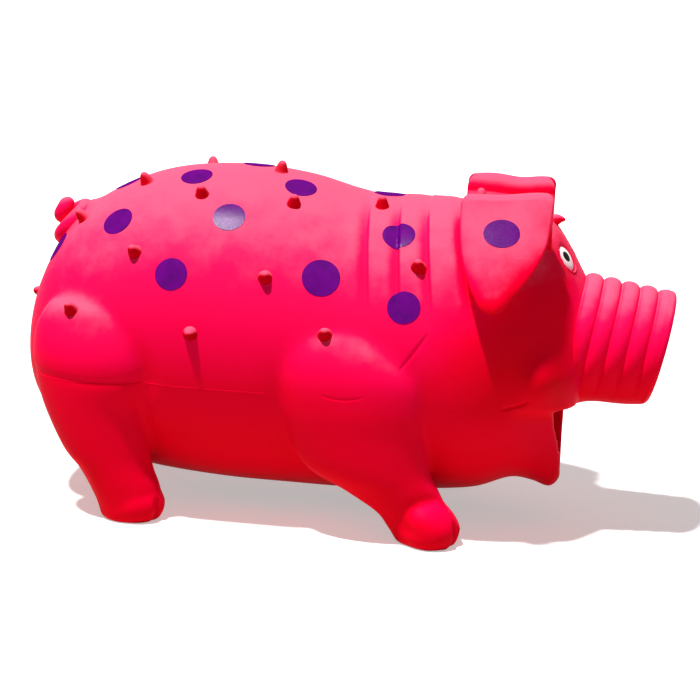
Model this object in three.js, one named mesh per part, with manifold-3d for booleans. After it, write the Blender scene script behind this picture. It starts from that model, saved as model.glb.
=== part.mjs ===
// Latex pig toy for dogs: a moulded skin with a fibre fill and a reed squeaker in the belly.
// Millimetres. +X runs to the snout, +Y to the pig's left, +Z up, and the soles stand on Z = 0.
import * as THREE from "three";
import { mergeVertices } from "three/addons/utils/BufferGeometryUtils.js";
import Module from "manifold-3d";

const wasm = await Module();
wasm.setup();

// Casting
const SKIN = 2.4;
const GAP = 0.3;

// Trunk and head, rump to face: place along X, height of back, height of belly, half width
const TRUNK = [
  [-99.8, 48, 48, 0],
  [-98.9, 58.5, 38, 12],
  [-95.7, 71.3, 28.5, 22.5],
  [-88.2, 85, 19.5, 31.5],
  [-76.5, 95.2, 13, 38],
  [-58.5, 103.2, 9.4, 42],
  [-36.5, 106, 7.4, 43.2],
  [-15, 104.3, 7, 43.2],
  [4, 99.8, 7, 42.6],
  [22, 99.7, 8, 42],
  [41, 99.4, 10, 41],
  [53, 98.2, 14, 38],
  [60.5, 95.4, 12.8, 33],
  [66.2, 87.6, 10.9, 26.8],
  [70, 81.4, 18, 21],
  [73, 75, 34, 14],
  [75.5, 57, 57, 0],
];
const TRUNK_SIDES = 32;
const INNER_SIDES = 16;
const TRUNK_STEP = 11;
const DOME_ROWS = 6;
const REAR_DOME = 42;
const FRONT_DOME = 24;

// Pleats across the nape
const PLEAT_FIRST_X = 4.5;
const PLEAT_PITCH = 8.8;
const PLEAT_COUNT = 3;
const PLEAT_DEPTH = 1.2;
const PLEAT_WIDTH = 2.2;
const PLEAT_LOW_ANGLE = -5;
const PLEAT_HIGH_ANGLE = 35;

// Head
const NECK_X = 33;
const MOUTH_CORNER_X = 50;
const MOUTH_CORNER_Z = 44;
const MOUTH_SLOPE = 12;
const LIP_X = 67.4;
const LIP_WALL = 3.2;
const MOUTH_DEPTH = 14;
const FORELOCK_X = 62;

// Ears: a root rises from the crown and the flap hangs from the fold on top of it
const EAR_REAR_X = 34;
const EAR_WIDTH = 26.2;
const EAR_FOLD_Y = 25;
const EAR_FOLD_Z = 101.5;
const EAR_FOLD_RADIUS = 3;
const EAR_THICKNESS = 3;
// Ear flap, fold to tip: distance down it, then how far its rear and front edges draw in from the fold's ends
const EAR_FLAP = [
  [0, 0, 0],
  [7, 0.4, 0.6],
  [14, 1, 2.8],
  [21, 2.6, 5.4],
  [27, 5.6, 8],
  [31.5, 9.4, 9.8],
];
const EAR_LENGTH = 34.6;
const EAR_TIP_X = 13.2;
const EAR_HANG = 33;
const EAR_CURL = 4;
const EAR_TAPER = 0.25;
const EAR_ROOT_LEAN = 24;
const EAR_ROOT_LENGTH = 24;

// Snout
const SNOUT_BASE_X = 66;
const SNOUT_BASE_Z = 58.2;
const SNOUT_TIP_X = 95.2;
const SNOUT_TIP_Z = 57.2;
const SNOUT_LEAN = 12;
const SNOUT_BASE_HEIGHT = 42.6;
const SNOUT_TIP_HEIGHT = 35.6;
const SNOUT_BASE_WIDTH = 45;
const SNOUT_TIP_WIDTH = 39;
const SNOUT_SIDES = 24;
const RING_COUNT = 5;
const RING_LENGTH = 5.4;
const RING_DEPTH = 1.4;
const RING_LOW_ANGLE = -75;
const RING_HIGH_ANGLE = -30;
const SNOUT_WALL = 3;
const NOSE_EDGE = 1.6;
const NOSTRIL_SPREAD = 15;
const NOSTRIL_WIDTH = 6;
const NOSTRIL_HEIGHT = 8.5;
const NOSTRIL_DEPTH = 2;

// Eyes
const EYE_X = 65.2;
const EYE_ANGLE = 62;
const EYE_WIDTH = 7;
const EYE_HEIGHT = 9;
const EYE_RISE = 1.6;

// Legs, sole to top: height, place along X, depth inside the trunk's side, half length, half width
const FRONT_LEG_X = 29.2;
const FRONT_LEG = [
  [0, 0, 8.8, 7.4, 7],
  [1.3, 0, 8.8, 8.7, 8.2],
  [4.5, -0.2, 8.8, 9.6, 8.7],
  [9, -2, 8.8, 10.6, 9],
  [15, -8, 8.6, 14.6, 10],
  [22, -16, 8.4, 18.8, 11.3],
  [33, -21.5, 8, 21, 12.8],
  [42, -24, 7.8, 24, 13.6],
  [51, -25, 8, 24.4, 13],
  [60, -26.5, 8.4, 19, 11.5],
  [67, -28.5, 8.8, 9, 7.5],
  [71, -29, 8.8, 0, 0],
];
const REAR_LEG_X = -61.8;
const REAR_LEG = [
  [0, 0, 9.8, 7.6, 7],
  [1.3, 0, 9.8, 8.9, 8.2],
  [5, -0.3, 9.8, 9.8, 8.8],
  [10, -1.8, 9.8, 10.8, 9.3],
  [15.5, -4.6, 10, 11.4, 10],
  [21.5, -7.6, 10.4, 13.5, 11.2],
  [33.6, -10.5, 11.2, 16.5, 13.2],
  [43, -9.8, 11.8, 19.6, 14],
  [51, -10.2, 11.8, 20, 13.9],
  [59, -10.8, 11.8, 18, 12.8],
  [66, -11.8, 11.8, 12, 10.4],
  [72, -12.2, 11.8, 0, 0],
];
const LEG_SIDES = 16;
const CLEFT_WIDTH = 2.2;
const CLEFT_DEPTH = 4.5;
const CLEFT_HEIGHT = 9;

// Tail: a corkscrew that starts inside the rump and leans back
const TAIL_X = -87.3;
const TAIL_SINK = 2.7;
const TAIL_TILT = 44;
const TAIL_TURNS = 2;
const TAIL_PITCH = 4.3;
const TAIL_ROOT_COIL = 7.2;
const TAIL_END_COIL = 2.4;
const TAIL_ROOT_RADIUS = 2.05;
const TAIL_END_RADIUS = 1.6;
const TAIL_STEPS = 28;
const TAIL_SIDES = 8;

// Nubs: place along X and angle above the trunk's widest line, right side and left side
const RIGHT_NUBS = [
  [-94.6, 47],
  [-82, 67],
  [-64.3, 73],
  [-44.1, 62],
  [-16.3, 60],
  [9.2, 77],
  [-61.4, 35],
  [-21.5, 27],
  [-42.4, 5],
  [22.5, 40],
];
const LEFT_NUBS = [
  [-94.6, 40],
  [-80, 45],
  [-64, 55],
  [-47.7, 67],
  [-26, 67],
  [9.2, 50],
  [-61.4, 25],
  [-21.5, 27],
  [-42.4, 5],
  [22.5, 40],
];
const CROWN_NUB_X = 38;
// Nub on each leg: ring of the leg, counted from the sole, and angle round it
const SHOULDER_NUB = [9, -105];
const HAUNCH_NUB = [10, -120];
const NUB_RADIUS = 1.9;
const NUB_TIP_RADIUS = 1.05;
const NUB_LENGTH = 3.6;
const NUB_SIDES = 6;

// Squeaker, pushed into a socket in the belly
const SQUEAKER_X = -20;
const SQUEAKER_RADIUS = 10;
const SQUEAKER_HEIGHT = 13;
const SQUEAKER_WALL = 1.2;
const SQUEAKER_FLOOR = 1.5;
const SOUND_HOLE_RADIUS = 2.5;
const LEDGE_HEIGHT = 5;
const LEDGE_WIDTH = 1.2;
const SOCKET_SEAT = 4;
const SOCKET_GRIP = 8;
const PORT_RADIUS = 8;
const BLOCK_THICKNESS = 2;
const SLOT_LENGTH = 9;
const SLOT_WIDTH = 2.6;
const REED_LENGTH = 12;
const REED_WIDTH = 4.2;
const REED_THICKNESS = 0.5;
const CLAMP_LENGTH = 3;
const CLAMP_WIDTH = 6;
const CLAMP_THICKNESS = 1.8;
const CAP_THICKNESS = 1.4;
const CAP_PLUG = 1.4;
const CAP_HOLE_RADIUS = 3;
const ROUND_SIDES = 20;

// Colours
const PINK = 0xf5145f;
const RED_PINK = 0xe0103c;
const EYE_WHITE = 0xf6f2ee;
const FIBRE_WHITE = 0xeeece6;
const SQUEAKER_WHITE = 0xe9e8e2;
const REED_CLEAR = 0xcfd6d2;

const FAR = 400;
const radians = THREE.MathUtils.degToRad;
const smooth = THREE.MathUtils.smoothstep;
const point = (x, y, z) => new THREE.Vector3(x, y, z);
const middle = (ring) => ring.reduce((sum, p) => sum.add(p), point(0, 0, 0)).divideScalar(ring.length);

// A closed surface through rings of equal count; an end ring of one point is a pole, others are capped flat
function loft(rings) {
  const rows = [...rings];
  if (rings[0].length > 1) rows.unshift([middle(rings[0])]);
  if (rings.at(-1).length > 1) rows.push([middle(rings.at(-1))]);
  const faces = [];
  let near = 0;
  for (let i = 0; i + 1 < rows.length; i += 1) {
    const far = near + rows[i].length;
    const count = Math.max(rows[i].length, rows[i + 1].length);
    for (let j = 0; j < count; j += 1) {
      const k = (j + 1) % count;
      const [a, b] = rows[i].length > 1 ? [near + j, near + k] : [near, near];
      const [d, c] = rows[i + 1].length > 1 ? [far + j, far + k] : [far, far];
      if (a !== b) faces.push(a, b, d);
      if (c !== d) faces.push(b, c, d);
    }
    near = far;
  }
  const geometry = new THREE.BufferGeometry().setFromPoints(rows.flat());
  geometry.setIndex(faces);
  return geometry;
}

// The same rings moved out along the surface's normal, or in where the distance is negative
function grown(rings, distance) {
  const at = (ring, j) => ring[j % ring.length];
  return rings.map((ring, i) => {
    const before = rings[Math.max(i - 1, 0)];
    const after = rings[Math.min(i + 1, rings.length - 1)];
    if (ring.length === 1) {
      const out = ring[0].clone().sub(middle(i === 0 ? after : before)).normalize();
      return [ring[0].clone().addScaledVector(out, distance)];
    }
    return ring.map((p, j) => {
      const around = at(ring, j + 1).clone().sub(at(ring, j + ring.length - 1));
      const along = at(after, j).clone().sub(at(before, j));
      return p.clone().addScaledVector(around.cross(along).normalize(), distance);
    });
  });
}

function toSolid(geometry) {
  const bare = new THREE.BufferGeometry();
  bare.setAttribute("position", geometry.getAttribute("position").clone());
  if (geometry.index) bare.setIndex(geometry.index.clone());
  const merged = mergeVertices(bare, 1e-4);
  const positions = merged.getAttribute("position").array;
  const triangles = Uint32Array.from(merged.index.array);
  const corner = (i) => new THREE.Vector3().fromArray(positions, triangles[i] * 3);
  let volume = 0;
  for (let i = 0; i < triangles.length; i += 3) {
    volume += corner(i).dot(corner(i + 1).cross(corner(i + 2)));
  }
  if (volume < 0) triangles.reverse();
  const mesh = new wasm.Mesh({
    numProp: 3,
    vertProperties: Float32Array.from(positions),
    triVerts: triangles,
  });
  return new wasm.Manifold(mesh);
}

function block(low, high) {
  const size = point(...high).sub(point(...low));
  const centre = point(...low).add(point(...high)).multiplyScalar(0.5);
  return toSolid(new THREE.BoxGeometry(size.x, size.y, size.z).translate(centre.x, centre.y, centre.z));
}

// A turned piece about the vertical axis at the squeaker's place, from a closed outline of radius and height
function turned(outline, x = SQUEAKER_X) {
  const loop = [...outline, outline[0]].map(([r, z]) => new THREE.Vector2(r, z));
  return toSolid(new THREE.LatheGeometry(loop, ROUND_SIDES).rotateX(Math.PI / 2).translate(x, 0, 0));
}

function disc(radius, low, high, x = SQUEAKER_X) {
  const round = new THREE.CylinderGeometry(radius, radius, high - low, ROUND_SIDES);
  return toSolid(round.rotateX(Math.PI / 2).translate(x, 0, (low + high) / 2));
}

const mirrored = (solid) => solid.mirror([0, 1, 0]);

// Trunk and head as one swelling form
const alongTrunk = (column) => TRUNK.map((row) => point(row[0], row[column], 0));
const spline = (column) => new THREE.CatmullRomCurve3(alongTrunk(column), false, "catmullrom", 0.5);
const backLine = spline(1);
const bellyLine = spline(2);
const sideLine = spline(3);
const RUMP_X = TRUNK[0][0];
const FACE_X = TRUNK.at(-1)[0];

function trunkAt(x) {
  let low = 0;
  let high = 1;
  for (let i = 0; i < 40; i += 1) {
    const t = (low + high) / 2;
    if (backLine.getPoint(t).x < x) low = t;
    else high = t;
  }
  const top = backLine.getPoint(low).y;
  const bottom = bellyLine.getPoint(low).y;
  const half = sideLine.getPoint(low).y;
  return { top, bottom, half, centre: (top + bottom) / 2, rise: (top - bottom) / 2 };
}

function pleatAt(x, angle) {
  let depth = 0;
  for (let i = 0; i < PLEAT_COUNT; i += 1) {
    const offset = (x - PLEAT_FIRST_X - i * PLEAT_PITCH) / PLEAT_WIDTH;
    depth += PLEAT_DEPTH * Math.exp(-offset * offset);
  }
  const height = Math.sin(angle);
  return depth * smooth(height, Math.sin(radians(PLEAT_LOW_ANGLE)), Math.sin(radians(PLEAT_HIGH_ANGLE)));
}

function trunkPoint(x, angle, inset = 0) {
  const { half, centre, rise } = trunkAt(x);
  return point(x, (half - inset) * Math.cos(angle), centre + (rise - inset) * Math.sin(angle));
}

function trunkStops(pleated) {
  const stops = [];
  for (let i = 1; i <= DOME_ROWS; i += 1) {
    const share = 1 - Math.cos((i / DOME_ROWS) * (Math.PI / 2));
    stops.push(RUMP_X + REAR_DOME * share, FACE_X - FRONT_DOME * share);
  }
  const pleatEnd = PLEAT_FIRST_X + PLEAT_PITCH * (PLEAT_COUNT - 0.5);
  const pleatStart = PLEAT_FIRST_X - PLEAT_PITCH * 0.5;
  const even = (from, to, step) => {
    const count = Math.ceil((to - from) / step);
    for (let i = 1; i <= count; i += 1) stops.push(from + ((to - from) * i) / count);
  };
  even(RUMP_X + REAR_DOME, pleatStart, TRUNK_STEP);
  even(pleatStart, pleatEnd, pleated ? PLEAT_PITCH / 4 : TRUNK_STEP);
  even(pleatEnd, FACE_X - FRONT_DOME - 1, TRUNK_STEP);
  return stops.sort((a, b) => a - b).filter((x, i, all) => i === 0 || x - all[i - 1] > 0.3);
}

function trunkRings(stops, sides, pleated) {
  const rings = stops.map((x) =>
    Array.from({ length: sides }, (_, j) => {
      const angle = (j / sides) * Math.PI * 2;
      return trunkPoint(x, angle, pleated ? pleatAt(x, angle) : 0);
    }),
  );
  return [[trunkPoint(RUMP_X, 0)], ...rings, [trunkPoint(FACE_X, 0)]];
}

const trunk = toSolid(loft(trunkRings(trunkStops(true), TRUNK_SIDES, true)));
const plainRings = trunkRings(trunkStops(false), TRUNK_SIDES, false);
const innerRings = trunkRings(trunkStops(false), INNER_SIDES, false);
const trunkClear = toSolid(loft(grown(plainRings, GAP)));
const hollow = toSolid(loft(grown(innerRings, -SKIN)));
const filling = toSolid(loft(grown(innerRings, -SKIN - GAP)));
const mouthHollow = toSolid(loft(grown(plainRings, -LIP_WALL)));

const behindNeck = (x) => block([-FAR, -FAR, -FAR], [x, FAR, FAR]);
const between = (from, to) => block([from, -FAR, -FAR], [to, FAR, FAR]);
const HEAD_X = NECK_X + GAP;
const MOUTH_BACK_X = LIP_X - MOUTH_DEPTH;
const CHEST_X = MOUTH_BACK_X - SKIN;

// Everything above or below the sloping mouth line, a distance clear of it
function mouthSide(side, distance) {
  const slab = new THREE.BoxGeometry(FAR, FAR, FAR).translate(0, 0, side * (FAR / 2 + distance));
  return toSolid(slab.rotateY(radians(MOUTH_SLOPE)).translate(MOUTH_CORNER_X, 0, MOUTH_CORNER_Z));
}

// A peg on a surface: its base sinks into the skin and its blunt tip points out
function peg(base, out) {
  const outline = [
    [0, -SKIN * 0.8],
    [NUB_RADIUS, -SKIN * 0.8],
    [NUB_RADIUS, 0.5],
    [NUB_TIP_RADIUS, NUB_LENGTH - 0.4],
    [0, NUB_LENGTH],
  ].map(([r, z]) => new THREE.Vector2(r, z));
  const turn = new THREE.Quaternion().setFromUnitVectors(point(0, 1, 0), out.clone().normalize());
  return toSolid(new THREE.LatheGeometry(outline, NUB_SIDES).applyQuaternion(turn).translate(...base));
}

function trunkNormal(x, angle) {
  const step = 0.02;
  const around = trunkPoint(x, angle + step).sub(trunkPoint(x, angle - step));
  return around.cross(trunkPoint(x + 0.5, angle).sub(trunkPoint(x - 0.5, angle))).normalize();
}

const nub = (x, angle) => peg(trunkPoint(x, angle, pleatAt(x, angle)), trunkNormal(x, angle));

// Squeaker socket in the belly
const belly = trunkAt(SQUEAKER_X).bottom;
const SEAT_Z = belly + SOCKET_SEAT;
const SOCKET_RADIUS = SQUEAKER_RADIUS + GAP;
const COLLAR_RADIUS = SOCKET_RADIUS + SKIN;
const COLLAR_Z = SEAT_Z + SOCKET_GRIP;

function torsoSkin() {
  let skin = trunk.subtract(hollow).intersect(behindNeck(NECK_X));
  const collar = disc(COLLAR_RADIUS, belly - 1, COLLAR_Z).intersect(trunk);
  skin = skin.add(collar);
  skin = skin.subtract(disc(SOCKET_RADIUS, SEAT_Z, COLLAR_Z + 1));
  skin = skin.subtract(disc(PORT_RADIUS, belly - 5, SEAT_Z + 1));
  for (const [x, degrees] of RIGHT_NUBS) skin = skin.add(nub(x, Math.PI - radians(degrees)));
  for (const [x, degrees] of LEFT_NUBS) skin = skin.add(nub(x, radians(degrees)));
  return skin;
}

// Ear fold line, hanging direction and a flap that tapers to a rounded tip
const EAR_X = EAR_REAR_X + EAR_WIDTH / 2;
const earDown = (degrees) => point(0, Math.sin(radians(degrees)), -Math.cos(radians(degrees)));

function earRoll(radius, length) {
  const roll = new THREE.CylinderGeometry(radius, radius, length, ROUND_SIDES);
  return toSolid(roll.rotateZ(Math.PI / 2).translate(EAR_X, EAR_FOLD_Y, EAR_FOLD_Z));
}

function earRoot() {
  const bar = new THREE.BoxGeometry(EAR_WIDTH, EAR_THICKNESS, EAR_ROOT_LENGTH);
  bar.translate(0, 0, -EAR_ROOT_LENGTH / 2).rotateX(-radians(EAR_ROOT_LEAN));
  const root = toSolid(bar.translate(EAR_X, EAR_FOLD_Y, EAR_FOLD_Z));
  return root.subtract(earRoll(EAR_FOLD_RADIUS + GAP, EAR_WIDTH * 2));
}

function earFlap() {
  const sides = 12;
  const place = (down, forward) => {
    const hang = earDown(EAR_HANG + (EAR_CURL * down) / EAR_LENGTH);
    return point(EAR_REAR_X + forward, EAR_FOLD_Y, EAR_FOLD_Z).addScaledVector(hang, down);
  };
  const normal = earDown(EAR_HANG + 90);
  const squared = (value) => Math.sign(value) * Math.abs(value) ** 0.6;
  const rings = EAR_FLAP.map(([down, rear, front]) => {
    const thick = (EAR_THICKNESS / 2) * (1 - (EAR_TAPER * down) / EAR_LENGTH);
    const centre = (EAR_WIDTH + rear - front) / 2;
    const half = (EAR_WIDTH - rear - front) / 2;
    return Array.from({ length: sides }, (_, j) => {
      const angle = (j / sides) * Math.PI * 2;
      const across = place(down, centre + half * squared(Math.cos(angle)));
      return across.addScaledVector(normal, thick * squared(Math.sin(angle)));
    });
  });
  rings.push([place(EAR_LENGTH, EAR_TIP_X)]);
  return toSolid(loft(smoothed(rings))).add(earRoll(EAR_FOLD_RADIUS, EAR_WIDTH));
}

function headSkin() {
  let skin = trunk.intersect(between(HEAD_X, FAR)).intersect(mouthSide(1, GAP / 2));
  const root = earRoot();
  skin = skin.add(root).add(mirrored(root));
  skin = skin.add(nub(FORELOCK_X, Math.PI / 2)).add(nub(CROWN_NUB_X, Math.PI / 2));
  return skin.subtract(hollow.intersect(between(NECK_X - 1, FAR)).intersect(mouthSide(1, GAP / 2 + SKIN)));
}

function lowerJaw() {
  const jaw = trunk.intersect(between(HEAD_X, LIP_X)).intersect(mouthSide(-1, GAP / 2));
  const chest = hollow.intersect(between(NECK_X - 1, CHEST_X)).intersect(mouthSide(-1, GAP / 2 + SKIN));
  const mouth = mouthHollow.intersect(between(MOUTH_BACK_X, FAR));
  return jaw.subtract(chest).subtract(mouth);
}

// Snout: rings along a line from the face, leaning so that the end faces a little down
const snoutBase = point(SNOUT_BASE_X, 0, SNOUT_BASE_Z);
const snoutTip = point(SNOUT_TIP_X, 0, SNOUT_TIP_Z);
const snoutLength = snoutBase.distanceTo(snoutTip);
const snoutUp = point(Math.sin(radians(SNOUT_LEAN)), 0, Math.cos(radians(SNOUT_LEAN)));
const NOSE_START = snoutLength - RING_LENGTH;

function snoutRing(distance, inset, ribbed) {
  const share = distance / snoutLength;
  const centre = snoutBase.clone().lerp(snoutTip, share);
  const high = THREE.MathUtils.lerp(SNOUT_BASE_HEIGHT, SNOUT_TIP_HEIGHT, share) / 2;
  const wide = THREE.MathUtils.lerp(SNOUT_BASE_WIDTH, SNOUT_TIP_WIDTH, share) / 2;
  const phase = ((snoutLength - distance) / RING_LENGTH) % 1;
  const within = snoutLength - distance < RING_COUNT * RING_LENGTH + 0.01;
  const groove = ribbed && within ? RING_DEPTH * (1 - Math.sqrt(Math.sin(Math.PI * Math.min(phase, 1)))) : 0;
  return Array.from({ length: SNOUT_SIDES }, (_, j) => {
    const angle = (j / SNOUT_SIDES) * Math.PI * 2;
    const height = Math.sin(angle);
    const fade = smooth(height, Math.sin(radians(RING_LOW_ANGLE)), Math.sin(radians(RING_HIGH_ANGLE)));
    const cut = inset + groove * fade;
    const side = point(0, (wide - cut) * Math.cos(angle), 0);
    return side.addScaledVector(snoutUp, (high - cut) * height).add(centre);
  });
}

function snoutBellows() {
  const rings = [snoutRing(0, 0, false)];
  const start = snoutLength - RING_COUNT * RING_LENGTH;
  const end = NOSE_START - GAP / 2;
  const steps = [0, 0.15, 0.5, 0.85];
  for (let i = 0; i < RING_COUNT - 1; i += 1) {
    for (const step of steps) rings.push(snoutRing(start + (i + step) * RING_LENGTH, 0, true));
  }
  rings.push(snoutRing(end, 0, true));
  const bore = [-2, snoutLength].map((distance) => snoutRing(distance, SNOUT_WALL + RING_DEPTH, false));
  return toSolid(loft(rings)).subtract(toSolid(loft(bore))).subtract(trunkClear);
}

function noseTip() {
  const start = NOSE_START + GAP / 2;
  const rings = [
    snoutRing(start, 0, true),
    snoutRing(NOSE_START + 0.12 * RING_LENGTH, 0, true),
    snoutRing(NOSE_START + 0.35 * RING_LENGTH, 0, true),
    snoutRing(snoutLength - NOSE_EDGE, 0, false),
    snoutRing(snoutLength - NOSE_EDGE * 0.3, NOSE_EDGE * 0.3, false),
    snoutRing(snoutLength, NOSE_EDGE, false),
  ];
  let tip = toSolid(loft(rings));
  for (const side of [-1, 1]) {
    const dent = new THREE.SphereGeometry(1, 12, 8);
    dent.scale(NOSTRIL_DEPTH, NOSTRIL_WIDTH / 2, NOSTRIL_HEIGHT / 2);
    dent.rotateY(radians(SNOUT_LEAN));
    const place = snoutTip.clone().addScaledVector(snoutUp, 1);
    tip = tip.subtract(toSolid(dent.translate(place.x, (side * NOSTRIL_SPREAD) / 2, place.z)));
  }
  return tip;
}

function eye() {
  const angle = Math.PI - radians(EYE_ANGLE);
  const seat = trunkPoint(EYE_X, angle);
  const out = trunkNormal(EYE_X, angle);
  const up = point(0, 0, 1).addScaledVector(out, -out.z).normalize();
  const frame = new THREE.Matrix4().makeBasis(out, up.clone().cross(out), up);
  const ball = new THREE.SphereGeometry(1, 14, 8).rotateX(Math.PI / 2);
  ball.scale(EYE_RISE + GAP, EYE_WIDTH / 2, EYE_HEIGHT / 2).applyMatrix4(frame);
  return toSolid(ball.translate(...seat)).subtract(trunkClear);
}

// Legs swell out of the trunk's side and end in a split trotter with a flat sole
function leg(stations, footX, [nubRing, nubAngle]) {
  const rings = stations.map(([height, forward, depth, long, wide]) => {
    const y = -(trunkAt(footX).half - depth);
    const centre = point(footX + forward, y, height);
    if (long === 0) return [centre];
    return Array.from({ length: LEG_SIDES }, (_, j) => {
      const angle = (j / LEG_SIDES) * Math.PI * 2;
      return centre.clone().add(point(long * Math.cos(angle), wide * Math.sin(angle), 0));
    });
  });
  const [, , , long, wide] = stations[nubRing];
  const round = point(Math.cos(radians(nubAngle)), Math.sin(radians(nubAngle)), 0);
  const nubBase = middle(rings[nubRing]).add(round.clone().multiply(point(long, wide, 0)));
  const bump = peg(nubBase, round.multiply(point(1 / long, 1 / wide, 0)).normalize().add(point(0, 0, 0.5)));
  const solid = toSolid(loft(rings)).add(bump).subtract(trunkClear);
  const front = Math.max(...rings.slice(0, 4).flat().map((p) => p.x));
  const footY = middle(rings[0]).y;
  const wedge = new THREE.Shape([
    new THREE.Vector2(front - CLEFT_DEPTH, footY),
    new THREE.Vector2(front + 1, footY - CLEFT_WIDTH * 0.6),
    new THREE.Vector2(front + 1, footY + CLEFT_WIDTH * 0.6),
  ]);
  const cleft = new THREE.ExtrudeGeometry(wedge, { depth: CLEFT_HEIGHT + 1, bevelEnabled: false });
  return solid.subtract(toSolid(cleft.translate(0, 0, -1)));
}

// Rings between the given ones, on a smooth curve through each column of points
function smoothed(rings) {
  const share = 2;
  const count = Math.max(...rings.map((ring) => ring.length));
  const columns = Array.from({ length: count }, (_, j) => {
    const column = rings.map((ring) => ring[j % ring.length]);
    return new THREE.CatmullRomCurve3(column, false, "catmullrom", 0.4);
  });
  const steps = (rings.length - 1) * share;
  const ringAt = (i) => columns.map((column) => column.getPoint(i / steps));
  const all = Array.from({ length: steps + 1 }, (_, i) => ringAt(i));
  if (rings.at(-1).length === 1) all[steps] = [all[steps][0]];
  return all;
}

function tail() {
  const axis = point(-Math.sin(radians(TAIL_TILT)), 0, Math.cos(radians(TAIL_TILT)));
  const ahead = point(axis.z, 0, -axis.x);
  const root = point(TAIL_X, 0, trunkAt(TAIL_X).top - TAIL_SINK);
  const centres = [];
  const rings = [];
  for (let i = 0; i <= TAIL_STEPS; i += 1) {
    const share = i / TAIL_STEPS;
    const turn = share * TAIL_TURNS * Math.PI * 2;
    const coil = THREE.MathUtils.lerp(TAIL_ROOT_COIL, TAIL_END_COIL, share);
    const radius = THREE.MathUtils.lerp(TAIL_ROOT_RADIUS, TAIL_END_RADIUS, share);
    const out = ahead.clone().multiplyScalar(Math.cos(turn)).add(point(0, Math.sin(turn), 0));
    const height = share * TAIL_TURNS * TAIL_PITCH;
    const centre = root.clone().addScaledVector(axis, height).addScaledVector(out, coil);
    centres.push(centre);
    rings.push(
      Array.from({ length: TAIL_SIDES }, (_, j) => {
        const angle = (j / TAIL_SIDES) * Math.PI * 2;
        const rim = centre.clone().addScaledVector(out, radius * Math.cos(angle));
        return rim.addScaledVector(axis, radius * Math.sin(angle));
      }),
    );
  }
  const forward = centres.at(-1).clone().sub(centres.at(-2)).setLength(TAIL_END_RADIUS * 0.7);
  rings.push([centres.at(-1).clone().add(forward)]);
  let least = Infinity;
  const apart = Math.floor((TAIL_STEPS / TAIL_TURNS) * 0.6);
  centres.forEach((a, i) => {
    for (const b of centres.slice(i + apart)) least = Math.min(least, a.distanceTo(b) - 2 * TAIL_ROOT_RADIUS);
  });
  console.log(`tail: least gap between its turns ${least.toFixed(2)} mm`);
  return toSolid(loft(rings)).subtract(trunkClear);
}

// Fibre fill: one mass through trunk, head and chest, with room for the squeaker
function fibreFill() {
  const trunkFill = filling.intersect(behindNeck(NECK_X));
  const inside = GAP / 2 + SKIN + GAP;
  const headFill = filling.intersect(between(NECK_X - 1, FAR)).intersect(mouthSide(1, inside));
  const chestFill = filling.intersect(between(NECK_X - 1, CHEST_X - GAP)).intersect(mouthSide(-1, inside));
  const room = disc(COLLAR_RADIUS + GAP, -FAR, SEAT_Z + SQUEAKER_HEIGHT + CAP_THICKNESS + 3 * GAP);
  return trunkFill.add(headFill).add(chestFill).subtract(room);
}

// Squeaker pieces, from the seat in the socket upwards
const HOUSING_Z = SEAT_Z + GAP;
const BORE_RADIUS = SQUEAKER_RADIUS - SQUEAKER_WALL;
const BLOCK_Z = HOUSING_Z + LEDGE_HEIGHT + GAP;
const REED_Z = BLOCK_Z + BLOCK_THICKNESS + GAP;
const CLAMP_Z = REED_Z + REED_THICKNESS + GAP;
const RIM_Z = HOUSING_Z + SQUEAKER_HEIGHT;
const REED_ROOT_X = SQUEAKER_X - REED_LENGTH / 2;

function squeakerHousing() {
  return turned([
    [SOUND_HOLE_RADIUS, HOUSING_Z],
    [SQUEAKER_RADIUS, HOUSING_Z],
    [SQUEAKER_RADIUS, RIM_Z],
    [BORE_RADIUS, RIM_Z],
    [BORE_RADIUS, HOUSING_Z + LEDGE_HEIGHT],
    [BORE_RADIUS - LEDGE_WIDTH, HOUSING_Z + LEDGE_HEIGHT],
    [BORE_RADIUS - LEDGE_WIDTH, HOUSING_Z + SQUEAKER_FLOOR],
    [SOUND_HOLE_RADIUS, HOUSING_Z + SQUEAKER_FLOOR],
  ]);
}

function reedBlock() {
  const plate = disc(BORE_RADIUS - GAP, BLOCK_Z, BLOCK_Z + BLOCK_THICKNESS);
  const slotEnd = REED_ROOT_X + REED_LENGTH - 1;
  const slot = block(
    [slotEnd - SLOT_LENGTH, -SLOT_WIDTH / 2, BLOCK_Z - 1],
    [slotEnd, SLOT_WIDTH / 2, BLOCK_Z + BLOCK_THICKNESS + 1],
  );
  return plate.subtract(slot);
}

function reed() {
  return block(
    [REED_ROOT_X, -REED_WIDTH / 2, REED_Z],
    [REED_ROOT_X + REED_LENGTH, REED_WIDTH / 2, REED_Z + REED_THICKNESS],
  );
}

// The clamp bridges the reed's root and stands on the block at either side of it
function reedClamp() {
  const half = CLAMP_WIDTH / 2 + GAP;
  const bridge = block(
    [REED_ROOT_X, -half - 1, BLOCK_Z + BLOCK_THICKNESS + GAP],
    [REED_ROOT_X + CLAMP_LENGTH, half + 1, CLAMP_Z + CLAMP_THICKNESS],
  );
  const room = REED_WIDTH / 2 + GAP;
  return bridge.subtract(block([-FAR, -room, -FAR], [FAR, room, CLAMP_Z]));
}

function squeakerCap() {
  const top = RIM_Z + GAP;
  return turned([
    [CAP_HOLE_RADIUS, top - CAP_PLUG],
    [BORE_RADIUS - GAP, top - CAP_PLUG],
    [BORE_RADIUS - GAP, top],
    [SQUEAKER_RADIUS, top],
    [SQUEAKER_RADIUS, top + CAP_THICKNESS],
    [CAP_HOLE_RADIUS, top + CAP_THICKNESS],
  ]);
}

// Assembly
const toy = new THREE.Group();
toy.name = "latex_pig";

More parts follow.
